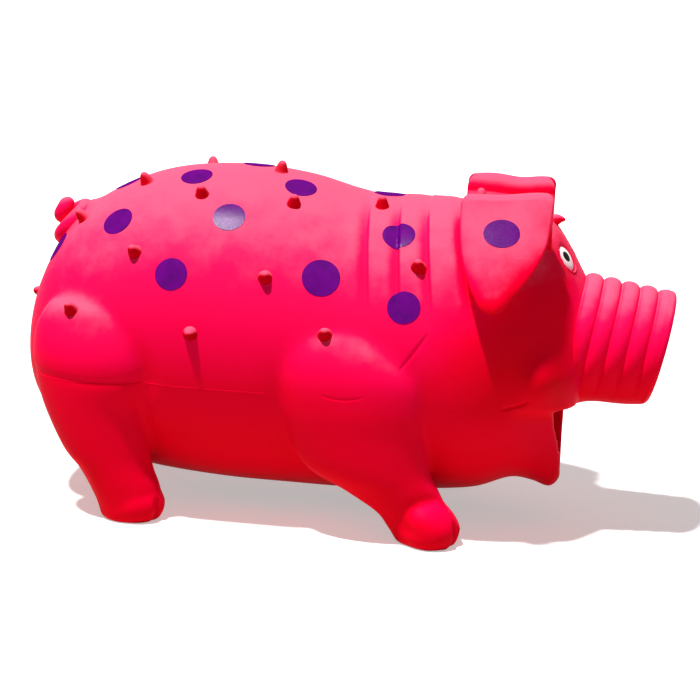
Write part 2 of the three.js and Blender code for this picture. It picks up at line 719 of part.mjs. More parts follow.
function addPiece(name, solid, color, roughness) {
  const mesh = solid.getMesh();
  const geometry = new THREE.BufferGeometry();
  geometry.setAttribute("position", new THREE.BufferAttribute(Float32Array.from(mesh.vertProperties), 3));
  geometry.setIndex(new THREE.BufferAttribute(Uint32Array.from(mesh.triVerts), 1));
  geometry.computeVertexNormals();
  const material = new THREE.MeshStandardMaterial({ color, roughness, metalness: 0 });
  const piece = new THREE.Mesh(geometry, material);
  piece.name = name;
  toy.add(piece);
}

const LATEX_ROUGHNESS = 0.38;
const frontLeg = leg(FRONT_LEG, FRONT_LEG_X, SHOULDER_NUB);
const rearLeg = leg(REAR_LEG, REAR_LEG_X, HAUNCH_NUB);
const flap = earFlap();
const rightEye = eye();

addPiece("torso_skin", torsoSkin(), PINK, LATEX_ROUGHNESS);
addPiece("head_skin", headSkin(), PINK, LATEX_ROUGHNESS);
addPiece("lower_jaw", lowerJaw(), RED_PINK, LATEX_ROUGHNESS);
addPiece("front_leg_right", frontLeg, RED_PINK, LATEX_ROUGHNESS);
addPiece("front_leg_left", mirrored(frontLeg), RED_PINK, LATEX_ROUGHNESS);
addPiece("rear_leg_right", rearLeg, RED_PINK, LATEX_ROUGHNESS);
addPiece("rear_leg_left", mirrored(rearLeg), RED_PINK, LATEX_ROUGHNESS);
addPiece("tail", tail(), PINK, LATEX_ROUGHNESS);
addPiece("ear_left", flap, PINK, LATEX_ROUGHNESS);
addPiece("ear_right", mirrored(flap), PINK, LATEX_ROUGHNESS);
addPiece("snout_bellows", snoutBellows(), PINK, LATEX_ROUGHNESS);
addPiece("nose_tip", noseTip(), PINK, LATEX_ROUGHNESS);
addPiece("eye_right", rightEye, EYE_WHITE, 0.25);
addPiece("eye_left", mirrored(rightEye), EYE_WHITE, 0.25);
addPiece("fibre_fill", fibreFill(), FIBRE_WHITE, 1);
addPiece("squeaker_housing", squeakerHousing(), SQUEAKER_WHITE, 0.5);
addPiece("reed_block", reedBlock(), SQUEAKER_WHITE, 0.5);
addPiece("reed", reed(), REED_CLEAR, 0.3);
addPiece("reed_clamp", reedClamp(), SQUEAKER_WHITE, 0.5);
addPiece("squeaker_cap", squeakerCap(), SQUEAKER_WHITE, 0.5);

// The origin lies under the middle of the toy's length
const bounds = new THREE.Box3().setFromObject(toy);
toy.position.x = -(bounds.min.x + bounds.max.x) / 2;

export default toy;
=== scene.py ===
import math
import bpy
import numpy as np
from mathutils import Matrix, Vector


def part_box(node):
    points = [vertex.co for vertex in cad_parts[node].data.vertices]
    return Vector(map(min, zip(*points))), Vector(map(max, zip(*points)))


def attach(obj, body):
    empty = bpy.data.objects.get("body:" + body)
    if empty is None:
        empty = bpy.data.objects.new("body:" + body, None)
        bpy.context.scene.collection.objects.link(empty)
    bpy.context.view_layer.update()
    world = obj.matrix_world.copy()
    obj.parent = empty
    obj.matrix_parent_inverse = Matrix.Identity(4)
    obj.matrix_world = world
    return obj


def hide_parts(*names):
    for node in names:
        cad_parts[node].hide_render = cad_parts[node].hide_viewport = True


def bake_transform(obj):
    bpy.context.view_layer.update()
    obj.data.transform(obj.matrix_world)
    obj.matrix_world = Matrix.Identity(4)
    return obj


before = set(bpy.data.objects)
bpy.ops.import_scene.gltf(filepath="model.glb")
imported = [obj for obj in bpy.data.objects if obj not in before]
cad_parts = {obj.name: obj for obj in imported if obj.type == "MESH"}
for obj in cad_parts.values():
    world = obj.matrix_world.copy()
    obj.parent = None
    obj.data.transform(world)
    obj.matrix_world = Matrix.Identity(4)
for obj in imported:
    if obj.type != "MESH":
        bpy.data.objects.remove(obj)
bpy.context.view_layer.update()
scene = bpy.context.scene
mm = 0.001

# the drawing's X is a little off the frame's: the squeaker's middle ties them together
squeaker = {
    "x": -20.0, "portRadius": 8.0, "seat": 11.0, "roomRadius": 10.9, "roomTop": 26.8,
    "below": -5.0, "overlap": 1.0,  # cutters start under the belly and run a little past what they open
}
housingLow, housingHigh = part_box("squeaker_housing")
shift = (housingLow.x + housingHigh.x) / 2 - squeaker["x"] * mm


def toFrame(places):
    return np.asarray(places, float) * mm + np.array([shift, 0.0, 0.0])


def spot(x, y, z):
    return Vector(toFrame([x, y, z]))


def ease(value, low, high):
    s = np.clip((np.asarray(value, float) - low) / (high - low), 0, 1)
    return s * s * (3 - 2 * s)


# curves and forms

def curveThrough(rows, t):
    p = np.asarray(rows, float)
    p = np.vstack([2 * p[0] - p[1], p, 2 * p[-1] - p[-2]])
    spans = len(p) - 3
    u = np.clip(t, 0, 1) * spans
    i = np.minimum(u.astype(int), spans - 1)
    f = (u - i)[:, None]
    a, b, c, d = p[i], p[i + 1], p[i + 2], p[i + 3]
    square = 2 * a - 5 * b + 4 * c - d
    cube = 3 * b - 3 * c + d - a
    return 0.5 * (2 * b + (c - a) * f + square * f ** 2 + cube * f ** 3)


def pick(obj):
    if bpy.context.object and bpy.context.object.mode != "OBJECT":
        bpy.ops.object.mode_set(mode="OBJECT")
    bpy.ops.object.select_all(action="DESELECT")
    obj.select_set(True)
    bpy.context.view_layer.objects.active = obj
    return obj


def fresh(name):
    obj = bpy.context.active_object
    obj.name = name
    obj.data.name = name
    return obj


def points(obj):
    co = np.empty(len(obj.data.vertices) * 3)
    obj.data.vertices.foreach_get("co", co)
    return co.reshape(-1, 3)


def move(obj, co):
    obj.data.vertices.foreach_set("co", np.ascontiguousarray(co, float).ravel())
    obj.data.update()


def normals(obj):
    n = np.empty(len(obj.data.vertices) * 3, np.float32)
    obj.data.vertex_normals.foreach_get("vector", n)
    return n.reshape(-1, 3)


def closeUp(obj):
    pick(obj)
    bpy.ops.object.mode_set(mode="EDIT")
    bpy.ops.mesh.select_all(action="SELECT")
    bpy.ops.mesh.remove_doubles(threshold=1e-6)
    bpy.ops.mesh.normals_make_consistent(inside=False)
    bpy.ops.object.mode_set(mode="OBJECT")
    return obj


def formed(name, place, around, along):
    # a ball whose rows run from one end of the form to the other
    bpy.ops.object.select_all(action="DESELECT")
    bpy.ops.mesh.primitive_uv_sphere_add(segments=around, ring_count=along, radius=1)
    form = fresh(name)
    co = points(form)
    t = 0.5 + np.arcsin(np.clip(co[:, 2], -1, 1)) / math.pi
    angle = np.arctan2(co[:, 1], co[:, 0])
    move(form, toFrame(place(t, angle)))
    return closeUp(form)


def block(name, low, high):
    bpy.ops.object.select_all(action="DESELECT")
    bpy.ops.mesh.primitive_cube_add(size=1)
    box = fresh(name)
    low, high = np.array(low, float), np.array(high, float)
    move(box, toFrame(low + (points(box) + 0.5) * (high - low)))
    return box


def drum(name, radius, low, high, sides=64):
    # a cylinder on the squeaker's upright axis
    bpy.ops.object.select_all(action="DESELECT")
    bpy.ops.mesh.primitive_cylinder_add(vertices=sides, radius=1, depth=1)
    can = fresh(name)
    co = points(can)
    across = co[:, :2] * radius + [squeaker["x"], 0]
    up = low + (co[:, 2:] + 0.5) * (high - low)
    move(can, toFrame(np.hstack([across, up])))
    return can


def strand(name, kind, places, radii, thick, sides, order=4):
    # a round strand through the places, made a mesh
    bpy.ops.object.select_all(action="DESELECT")
    bpy.ops.curve.primitive_bezier_curve_add()
    line = fresh(name)
    line.data.splines.clear()
    run = line.data.splines.new(kind)
    run.points.add(len(places) - 1)
    for p, place, radius in zip(run.points, places, radii):
        p.co = (*place, 1)
        p.radius = radius
    if kind == "NURBS":
        run.use_endpoint_u = True
        run.order_u = order
    line.data.bevel_depth = thick * mm
    line.data.bevel_resolution = sides
    line.data.use_fill_caps = True
    pick(line)
    bpy.ops.object.convert(target="MESH")
    return closeUp(fresh(name))


def useModifier(obj, kind, **settings):
    pick(obj)
    modifier = obj.modifiers.new(kind.lower(), kind)
    for key, value in settings.items():
        setattr(modifier, key, value)
    bpy.ops.object.modifier_apply(modifier=modifier.name)
    return obj


def carve(obj, cutter, how="DIFFERENCE"):
    useModifier(obj, "BOOLEAN", operation=how, solver="EXACT", object=cutter)
    bpy.data.objects.remove(cutter)
    return obj


def twin(obj, name):
    pick(obj)
    bpy.ops.object.duplicate()
    copy = fresh(name)
    co = points(copy)
    co[:, 1] *= -1
    move(copy, co)
    return closeUp(copy)


def joined(name, parts):
    pick(parts[0])
    for part in parts[1:]:
        part.select_set(True)
    bpy.ops.object.join()
    return fresh(name)


def refine(obj, chosen, cuts):
    # smaller faces where the face centres lie in the chosen place
    pick(obj)
    bpy.ops.object.mode_set(mode="EDIT")
    bpy.ops.mesh.select_mode(type="FACE")
    bpy.ops.mesh.select_all(action="DESELECT")
    bpy.ops.object.mode_set(mode="OBJECT")
    middle = np.empty(len(obj.data.polygons) * 3, np.float32)
    obj.data.polygons.foreach_get("center", middle)
    obj.data.polygons.foreach_set("select", chosen(middle.reshape(-1, 3).astype(float)))
    bpy.ops.object.mode_set(mode="EDIT")
    bpy.ops.mesh.subdivide(number_cuts=cuts)
    bpy.ops.object.mode_set(mode="OBJECT")


def smoothShade(obj):
    pick(obj)
    bpy.ops.object.shade_smooth()
    return obj


def keepPlace(obj, hollow=0.0):
    # colour follows the latex when a piece bends: each point remembers where it lies at rest and how far up
    # it faces, less an offset of painted shade that takes away the painted sheen and makes the latex redder
    place = obj.data.attributes.new("restPlace", "FLOAT_VECTOR", "POINT")
    place.data.foreach_set("vector", points(obj).astype(np.float32).ravel())
    facing = obj.data.attributes.new("restUp", "FLOAT", "POINT")
    facing.data.foreach_set("value", np.ascontiguousarray(normals(obj)[:, 2] - hollow, np.float32))
    return obj


# camera, at the photograph's angle
camera = {
    "azimuth": 6.5, "elevation": 13.0, "roll": 2.6, "distance": 0.62, "aim": (0, 0, 49.6),
    "lens": 102.03, "sensor": 36, "nearest": 0.01,
}


def setCamera():
    a, e, r = (math.radians(camera[k]) for k in ("azimuth", "elevation", "roll"))
    back = Vector((math.sin(a) * math.cos(e), -math.cos(a) * math.cos(e), math.sin(e)))
    level = Vector((math.cos(a), math.sin(a), 0))
    upright = level.cross(-back)
    right = level * math.cos(r) + upright * math.sin(r)
    up = upright * math.cos(r) - level * math.sin(r)
    bpy.ops.object.camera_add()
    eye = fresh("photoCamera")
    turn = Matrix((right, up, back)).transposed().to_4x4()
    eye.matrix_world = Matrix.Translation(spot(*camera["aim"]) + back * camera["distance"]) @ turn
    eye.data.sensor_width = camera["sensor"]
    eye.data.lens = camera["lens"]
    eye.data.clip_start = camera["nearest"]
    scene.camera = eye


setCamera()
print("camera set")


# nodes for the materials

def material(name):
    made = bpy.data.materials.new(name)
    made.use_nodes = True
    tree = made.node_tree
    tree.nodes.clear()
    out = tree.nodes.new("ShaderNodeOutputMaterial")
    skin = tree.nodes.new("ShaderNodeBsdfPrincipled")
    tree.links.new(skin.outputs[0], out.inputs[0])
    return made, tree, skin


def node(tree, kind, inputs=None, **settings):
    made = tree.nodes.new("ShaderNode" + kind)
    for key, value in settings.items():
        setattr(made, key, value)
    for key, value in (inputs or {}).items():
        if isinstance(value, bpy.types.NodeSocket):
            tree.links.new(value, made.inputs[key])
        else:
            made.inputs[key].default_value = value
    return made


def setSockets(shader, values):
    for key, value in values.items():
        shader.inputs[key].default_value = value


def ramp(tree, factor, stops):
    made = node(tree, "ValToRGB", {0: factor})
    bar = made.color_ramp.elements
    while len(bar) < len(stops):
        bar.new(0.5)
    for stop, (at, colour) in zip(bar, stops):
        stop.position = at
        stop.color = (*colour, 1)
    return made.outputs[0]


def tinted(colour, shares):
    return tuple(np.multiply(colour, shares).tolist())


def math2(tree, how, a, b):
    return node(tree, "Math", {0: a, 1: b}, operation=how).outputs[0]


def spread(tree, value, span, to=(0.0, 1.0), **settings):
    inputs = {0: value, 1: span[0], 2: span[1], 3: to[0], 4: to[1]}
    return node(tree, "MapRange", inputs, **settings).outputs[0]


def mixed(tree, share, first, second):
    return node(tree, "Mix", {0: share, 6: first, 7: second}, data_type="RGBA").outputs[2]


def noise(tree, place, scale, detail, roughness=0.5, distortion=0.0):
    inputs = {"Vector": place, "Scale": scale, "Detail": detail, "Roughness": roughness}
    return node(tree, "TexNoise", {**inputs, "Distortion": distortion}).outputs[0]


def bumped(tree, height, strength, depth, under=None):
    made = node(tree, "Bump", {"Strength": strength, "Distance": depth, "Height": height})
    if under is not None:
        tree.links.new(under, made.inputs["Normal"])
    return made.outputs[0]


# latex: painted shade makes it red below and pink above, and a painted sheen makes it pale where it faces up
latexLook = {
    "height": (0.012, 0.098), "start": 0.16, "byHeight": 0.6, "byFacing": 0.5,
    # the stops run from a shaded red to a lit pink: painted shade
    "stops": [
        (0.0, (0.79, 0.0, 0.01)),
        (0.3, (0.89, 0.0, 0.024)),
        (0.55, (0.95, 0.001, 0.065)),
        (1.0, (0.96, 0.008, 0.12)),
    ],
    # painted shade: the sides of the head are made redder where the face lies in shade: where along X that
    # starts and ends, and above which height
    "headFrom": (0.026, 0.05), "headTo": (0.066, 0.072), "headFloor": (0.034, 0.052), "headShade": 0.5,
    # the nubs' ramp is darker: painted shade on the pegs' sides
    "nubShadeStops": [(0.0, (0.42, 0.0, 0.003)), (1.0, (0.66, 0.0, 0.012))], "nubSheen": (0.1, 0.8),
    # painted sheen: the pale colour, the facing over which it comes in, and the height above which it shows
    "paintedSheen": (0.96, 0.1, 0.2), "sheenFacing": (0.37, 0.89), "sheenFloor": (0.018, 0.05),
    "cloudScale": 110.0, "cloudDetail": 7.0, "cloudRough": 0.64, "cloudShare": 0.54,
    "roughness": (0.44, 0.56), "satinScale": 90.0, "satinDetail": 4.0, "specular": 0.014,
    # scale, strength and depth of the grain and of the wider ripple
    "grain": (1400.0, 0.16, 0.0001), "ripple": (130.0, 0.16, 0.0006), "reliefDetail": 2.0,
    "scatter": 0.06, "scatterRadius": (1.0, 0.18, 0.14), "scatterScale": 0.004,
}


def latexMaterial(name, stops, sheenFacing):
    made, tree, skin = material(name)
    place = node(tree, "Attribute", attribute_name="restPlace").outputs["Vector"]
    facing = node(tree, "Attribute", attribute_name="restUp").outputs["Fac"]
    along, _, height = node(tree, "SeparateXYZ", {0: place}).outputs
    start = latexLook["start"]
    # painted shade: the colour's share rises with height and with how far up the skin faces, so low and
    # downward faces are redder
    share = spread(tree, height, latexLook["height"], (start, start + latexLook["byHeight"]))
    share = math2(tree, "ADD", share, math2(tree, "MULTIPLY", facing, latexLook["byFacing"]))
    # painted shade on the sides of the head, above a height
    head = spread(tree, along, latexLook["headFrom"])
    head = math2(tree, "MULTIPLY", head, spread(tree, along, latexLook["headTo"], (1.0, 0.0)))
    above = spread(tree, height, latexLook["headFloor"], (0.0, latexLook["headShade"]))
    share = math2(tree, "SUBTRACT", share, math2(tree, "MULTIPLY", head, above))
    colour = ramp(tree, share, stops)
    # painted sheen: a pale colour where the skin faces up, standing in for the overhead light's reflection; a
    # noise breaks its edge, and it stays off the lowest parts
    cloud = noise(tree, place, latexLook["cloudScale"], latexLook["cloudDetail"], latexLook["cloudRough"])
    cloud = math2(tree, "MULTIPLY", math2(tree, "SUBTRACT", cloud, 0.5), latexLook["cloudShare"])
    upward = math2(tree, "ADD", facing, cloud)
    upward = spread(tree, upward, sheenFacing, interpolation_type="SMOOTHSTEP")
    raised = spread(tree, height, latexLook["sheenFloor"])
    pale = mixed(tree, math2(tree, "MULTIPLY", upward, raised), colour, (*latexLook["paintedSheen"], 1))
    tree.links.new(pale, skin.inputs["Base Color"])
    satin = noise(tree, place, latexLook["satinScale"], latexLook["satinDetail"])
    satin = spread(tree, satin, (0.0, 1.0), latexLook["roughness"])
    tree.links.new(satin, skin.inputs["Roughness"])
    relief = None
    for scale, strength, depth in (latexLook["grain"], latexLook["ripple"]):
        waves = noise(tree, place, scale, latexLook["reliefDetail"])
        relief = bumped(tree, waves, strength, depth, relief)
    tree.links.new(relief, skin.inputs["Normal"])
    setSockets(skin, {
        "Specular IOR Level": latexLook["specular"],
        "Subsurface Weight": latexLook["scatter"],
        "Subsurface Radius": latexLook["scatterRadius"],
        "Subsurface Scale": latexLook["scatterScale"],
    })
    return made


latex = latexMaterial("moulded_latex", latexLook["stops"], latexLook["sheenFacing"])
# the nubs take a darker ramp: painted shade on their sides, and a painted sheen on their caps
nubLatex = latexMaterial("moulded_latex_nubs", latexLook["nubShadeStops"], latexLook["nubSheen"])

# trunk and head, rump to face: place along X, height of back, height of belly, half width
trunk = {
    "rows": [
        [-99.8, 48, 48, 0], [-98.9, 58.5, 38, 12], [-95.7, 71.3, 28.5, 22.5], [-88.2, 85, 19.5, 31.5],
        [-76.5, 95.2, 13, 38], [-58.5, 103.2, 9.4, 42], [-36.5, 106, 7.4, 43.2], [-15, 104.3, 7, 43.2],
        [4, 99.8, 7, 42.6], [22, 99.7, 8, 42], [41, 99.4, 10, 41], [52.4, 98.2, 14, 38],
        [59.6, 95.4, 12.8, 33], [65.4, 88.2, 10.9, 27.4], [69.4, 81.4, 19, 22.8], [72.6, 75, 40, 16.8],
        [75.5, 60, 60, 0],
    ],
    "samples": 1200,
}
# neck pleats: where each edge crosses a level, how it leans, how deep it is
pleats = {
    "edges": [(6.3, 0.13, 1.0), (15.5, 0.13, 1.1), (24.2, 0.16, 1.1), (34.9, 0.24, 2.0)], "level": 90.0,
    "fall": 3.6, "step": 0.9, "height": (0.24, 0.62), "top": (0.86, 1), "topShare": 0.2, "shade": 0.36,
    "refineWithin": 1.5, "leastShare": 0.02, "cuts": 2,
}
mouth = {
    "cornerX": 50, "cornerZ": 44, "slope": 9.5, "lipX": 68.2, "drawnBack": 3.2, "back": 53.4, "wall": 3.2,
    "pinch": 0.3, "pinchAlong": (50, 69), "pinchBelow": (-0.6, 3),
    "riseFrom": 67, "rise": 0.05, "riseMost": 4,
    # the box that cuts it, and where on that box the corner is drawn back
    "boxAhead": 110, "boxSide": 46, "boxFloor": -10, "boxRoof": 60, "boxCuts": 47,
    "drawnSide": (2, 14), "drawnHeight": (0.56, 0.98),
}
cheek = {"x": 62.5, "z": 51.0, "long": 6.5, "tall": 7.5, "swell": 0.13}


def mouthLine(x):
    lip = np.minimum(mouth["rise"] * np.maximum(x - mouth["riseFrom"], 0) ** 2, mouth["riseMost"])
    return mouth["cornerZ"] - (x - mouth["cornerX"]) * math.tan(math.radians(mouth["slope"])) + lip


def trunkPlace(t, angle, inset=0.0):
    x, top, bottom, half = curveThrough(trunk["rows"], t).T
    y = np.maximum(half - inset, 0) * np.cos(angle)
    z = (top + bottom) / 2 + np.maximum((top - bottom) / 2 - inset, 0) * np.sin(angle)
    narrow = ease(x, *mouth["pinchAlong"]) * ease(mouthLine(x) - z, *mouth["pinchBelow"])
    puffed = np.exp(-((x - cheek["x"]) / cheek["long"]) ** 2 - ((z - cheek["z"]) / cheek["tall"]) ** 2)
    return np.stack([x, y * (1 - mouth["pinch"] * narrow) * (1 + cheek["swell"] * puffed), z], 1)


def trunkAt(x):
    rows = curveThrough(trunk["rows"], np.linspace(0, 1, trunk["samples"]))
    return [np.interp(x, rows[:, 0], rows[:, k]) for k in (1, 2, 3)]


def trunkHalf(x):
    return float(trunkAt(x)[2])


def belowMouth(name, low, drawnBack=0.0, raised=0.0):
    # everything under the sloping mouth line, forward of a place; the right corner may be drawn back
    ahead, side, floor, roof = (mouth[k] for k in ("boxAhead", "boxSide", "boxFloor", "boxRoof"))
    part = block(name, [low, -side, floor], [ahead, side, roof])
    pick(part)
    bpy.ops.object.mode_set(mode="EDIT")
    bpy.ops.mesh.select_all(action="SELECT")
    bpy.ops.mesh.subdivide(number_cuts=mouth["boxCuts"])
    bpy.ops.object.mode_set(mode="OBJECT")
    co = points(part)
    x, y = (co[:, 0] - shift) / mm, co[:, 1] / mm
    height = (co[:, 2] / mm - floor) / (roof - floor)
    drawn = drawnBack * ease(-y, *mouth["drawnSide"]) * ease(height, *mouth["drawnHeight"])
    x = x - drawn * ease(ahead - x, 0, ahead - low)
    move(part, toFrame(np.stack([x, y, floor + height * (mouthLine(x) + raised - floor)], 1)))
    return part


# legs, sole to top: height, place along X, depth inside the trunk's side, half length, half width
frontLeg = {
    "x": 29.2,
    "rows": [
        [0, -0.3, 8.8, 0, 0], [0, -0.3, 8.8, 8.2, 7], [1.3, -0.3, 8.8, 9.4, 8], [4.5, -1.4, 8.8, 10.5, 8.4],
        [9, -4.5, 8.8, 11.3, 7.9], [15, -11, 8.7, 14.6, 8.8], [22, -18.8, 8.4, 19, 11.2],
        [33, -22.6, 8, 22, 12.8], [42, -24, 7.2, 24, 13.6], [51, -25.5, 6.8, 24, 13.4],
        [59, -28, 7.6, 19.5, 11.6], [64.5, -30, 8.6, 11.5, 8], [67, -30.5, 9, 0, 0],
    ],
    "hoof": {"x": 30.4, "depth": 7.6, "z": 5.6, "size": (9.0, 9.9, 9.8), "lean": 0.4},
    "seam": 0.7, "hoofSeam": 0.7, "topSmoothing": 40,
}
rearLeg = {
    "x": -61.8,
    "rows": [
        [0, 0, 9.8, 0, 0], [0, 0, 9.8, 7.6, 7], [1.3, 0, 9.8, 8.9, 8.2], [5, -0.3, 9.8, 9.8, 8.8],
        [10, -1.8, 9.8, 10.8, 9.3], [15.5, -4.6, 10, 11.4, 10], [21.5, -7.6, 10.4, 13.5, 11.2],
        [33.6, -10.5, 10.8, 16.5, 13.2], [43, -9.8, 10.2, 19.6, 14.2], [51, -10.2, 9.6, 20.2, 14.2],
        [60, -10.8, 10.4, 18.4, 12], [66.5, -11.6, 11.4, 12.5, 8.4], [70, -12, 12, 0, 0],
    ],
    "hoof": {"x": -60.2, "depth": 9.6, "z": 5.2, "size": (9.2, 9.0, 8.4), "lean": 0.2},
    "seam": 1.1, "hoofSeam": 0.1, "topSmoothing": 8,
}
cleft = {"width": 2.3, "depth": 5.0, "below": -2, "height": 7.6, "past": 4, "turn": 26}


def legForm(name, leg):
    inward = trunkHalf(leg["x"])
    hoof = leg["hoof"]

    def place(t, angle):
        height, forward, depth, long, wide = curveThrough(leg["rows"], t).T
        long, wide = np.maximum(long, 0), np.maximum(wide, 0)
        x = leg["x"] + forward + long * np.cos(angle)
        y = -(inward - depth) + wide * np.sin(angle)
        return np.stack([x, y, np.maximum(height, 0)], 1)

    def hoofPlace(t, angle):
        across = np.sin(t * math.pi)
        long, wide, tall = hoof["size"]
        up = -tall * np.cos(t * math.pi)
        x = hoof["x"] + long * across * np.cos(angle) - hoof["lean"] * np.maximum(up, 0)
        y = -(inward - hoof["depth"]) + wide * across * np.sin(angle)
        return np.stack([x, y, np.maximum(hoof["z"] + up, 0)], 1)

    form = formed(name, place, around=64, along=96)
    toe = formed(name + "Hoof", hoofPlace, around=64, along=48)
    form = carve(form, toe, "UNION")
    reach = hoof["size"][0]
    wedge = block(name + "Cleft", [reach - cleft["depth"], -cleft["width"], cleft["below"]],
                  [reach + cleft["past"], cleft["width"], cleft["height"]])
    co = points(wedge) - [shift, 0, 0]
    co[co[:, 0] < co[:, 0].mean(), 1] = 0  # the back edge closes to a point
    turn = np.array(Matrix.Rotation(math.radians(-cleft["turn"]), 3, "Z"))
    move(wedge, co @ turn.T + toFrame([hoof["x"], -(inward - hoof["depth"]), 0]))
    closeUp(wedge)
    return carve(form, wedge)


tailRoot = {"centre": (-82.5, 0, 88.6), "size": (7.5, 4.2, 3.8), "tilt": 14}


def tailRootPlace(t, angle):
    across = np.sin(t * math.pi)
    long, wide, tall = tailRoot["size"]
    a, b = long * across * np.cos(angle), -tall * np.cos(t * math.pi)
    tilt = math.radians(tailRoot["tilt"])
    x, y, z = tailRoot["centre"]
    return np.stack([x + a * math.cos(tilt) - b * math.sin(tilt), y + wide * across * np.sin(angle),
                     z + a * math.sin(tilt) + b * math.cos(tilt)], 1)


bodySkin = {
    "voxel": 0.00085, "smoothing": 5, "lipSmoothing": 24, "lipFrom": (57, 61), "lipBelow": (0, 3),
    "topWidth": 6.0, "topFrom": (44, 58), "leastShare": 0.02, "legSamples": 600,
}


def fromMiddle(obj):
    # each point's place along, out to either side and up
    co = points(obj)
    return (co[:, 0] - shift) / mm, np.abs(co[:, 1]) / mm, co[:, 2] / mm


def awayFrom(leg, x, y, z):
    # how far each point lies from the trunk's skin and from the leg's
    top, bottom, half = trunkAt(x)
    rise = np.maximum((top - bottom) / 2, 1)
    outward = np.hypot(y / np.maximum(half, 1), (z - (top + bottom) / 2) / rise)
    rows = curveThrough(leg["rows"][1:], np.linspace(0, 1, bodySkin["legSamples"]))
    forward, depth, long, wide = (np.interp(z, rows[:, 0], rows[:, k]) for k in (1, 2, 3, 4))
    a = (x - leg["x"] - forward) / np.maximum(long, 1)
    b = (y - trunkHalf(leg["x"]) + depth) / np.maximum(wide, 1)
    return (outward - 1) * np.minimum(half, rise), (np.hypot(a, b) - 1) * np.minimum(long, wide)


def softened(obj, name, near, iterations):
    # more smoothing where a piece of the skin asks for it
    group = obj.vertex_groups.new(name=name)
    for i in np.nonzero(near > bodySkin["leastShare"])[0]:
        group.add([int(i)], float(near[i]), "REPLACE")
    useModifier(obj, "SMOOTH", factor=0.5, iterations=iterations, vertex_group=name)
    obj.vertex_groups.clear()


def bodyForm():
    form = formed("trunkForm", trunkPlace, around=128, along=224)
    hollow = formed("mouthHollow", lambda t, angle: trunkPlace(t, angle, mouth["wall"]), around=96, along=160)
    carve(hollow, belowMouth("mouthRoom", mouth["back"]), "INTERSECT")
    carve(form, belowMouth("lipCut", mouth["lipX"], mouth["drawnBack"]))
    carve(form, hollow)
    portTop = squeaker["seat"] + squeaker["overlap"]
    carve(form, drum("port", squeaker["portRadius"], squeaker["below"], portTop))
    carve(form, drum("room", squeaker["roomRadius"], squeaker["seat"], squeaker["roomTop"]))
    parts = [form, formed("tailRoot", tailRootPlace, around=40, along=32)]
    for name, leg in (("frontLegRight", frontLeg), ("rearLegRight", rearLeg)):
        right = legForm(name, leg)
        parts += [right, twin(right, name.replace("Right", "Left"))]
    body = joined("pigBody", parts)
    useModifier(body, "REMESH", mode="VOXEL", voxel_size=bodySkin["voxel"], use_smooth_shade=True)
    useModifier(body, "SMOOTH", factor=0.5, iterations=bodySkin["smoothing"])
    x, _, z = fromMiddle(body)
    lip = ease(x, *bodySkin["lipFrom"]) * ease(mouthLine(x) - z, *bodySkin["lipBelow"])
    softened(body, "lip", lip, bodySkin["lipSmoothing"])
    for leg in (frontLeg, rearLeg):
        fromTrunk, fromLeg = awayFrom(leg, *fromMiddle(body))
        near = np.exp(-(fromTrunk ** 2 + fromLeg ** 2) / bodySkin["topWidth"] ** 2)
        softened(body, "legTop", near * ease(z, *bodySkin["topFrom"]), leg["topSmoothing"])
    co = points(body)
    co[:, 2] = np.maximum(co[:, 2], 0)
    move(body, co)
    return body


body = bodyForm()
print("body formed,", len(body.data.polygons), "faces")

seams = {"width": 2.3, "fade": (6.0, 26.0), "hoofWidth": 1.6, "hoofHeight": (2, 6), "hoofFacing": (0.25, 0.7)}
# creases pressed into the latex: lines of points, how deep and how wide
creases = [
    {"line": [(50, -39.3, 43.2), (53, -38.4, 43.5), (55.8, -37, 44.6), (57.4, -36, 46.4)],
     "depth": 0.6, "width": 0.55},
    {"line": [(27.4, -40.3, 65.6), (23.4, -41.8, 59.8), (19.2, -42.8, 53.6)],
     "depth": 0.6, "width": 0.5},
    {"line": [(-2.6, -48, 46.6), (0.2, -48, 46.1), (3.6, -48, 45.9), (7, -48, 46.2), (9.8, -48, 46.9)],
     "depth": 0.3, "width": 0.4},
    {"line": [(-95, -30, 46), (-86, -44, 44.9), (-72, -48, 44.2), (-60, -47, 44.6), (-52, -44, 45)],
     "depth": 0.4, "width": 1.3},
]
creaseMesh = {"samples": 24, "fineWidth": 1, "refineWithin": 1.6, "cuts": 3}


def distanceTo(co, line):
    # how far each point lies from a line, and at what share of the line
    best, share = np.full(len(co), np.inf), np.zeros(len(co))
    for i, (a, b) in enumerate(zip(line, line[1:])):
        d = b - a
        f = np.clip(((co - a) @ d) / (d @ d), 0, 1)
        away = np.linalg.norm(co - (a + f[:, None] * d), axis=1)
        share = np.where(away < best, (i + f) / (len(line) - 1), share)
        best = np.minimum(best, away)
    return best, share


def pleatPlace(co):
    # how far past each pleat's edge a point lies, and how strongly the pleats show there
    x, z = (co[:, 0] - shift) / mm, co[:, 2] / mm
    top, bottom, _ = trunkAt(x)
    height = (z - (top + bottom) / 2) / np.maximum((top - bottom) / 2, 1)
    share = ease(height, *pleats["height"]) * (1 - (1 - pleats["topShare"]) * ease(height, *pleats["top"]))
    return [x - edge - lean * (pleats["level"] - z) for edge, lean, _ in pleats["edges"]], share


def nearPleat(co):
    past, share = pleatPlace(co)
    return (np.min(np.abs(past), axis=0) < pleats["refineWithin"]) & (share > pleats["leastShare"])


def pressPleats(obj):
    co = points(obj)
    past, share = pleatPlace(co)
    push = np.zeros(len(co))
    for u, (_, _, deep) in zip(past, pleats["edges"]):
        push += deep * share * np.where(u < 0, ease(u, -pleats["fall"], 0), 1 - ease(u, 0, pleats["step"]))
    move(obj, co - normals(obj) * (push * mm)[:, None])
    return push


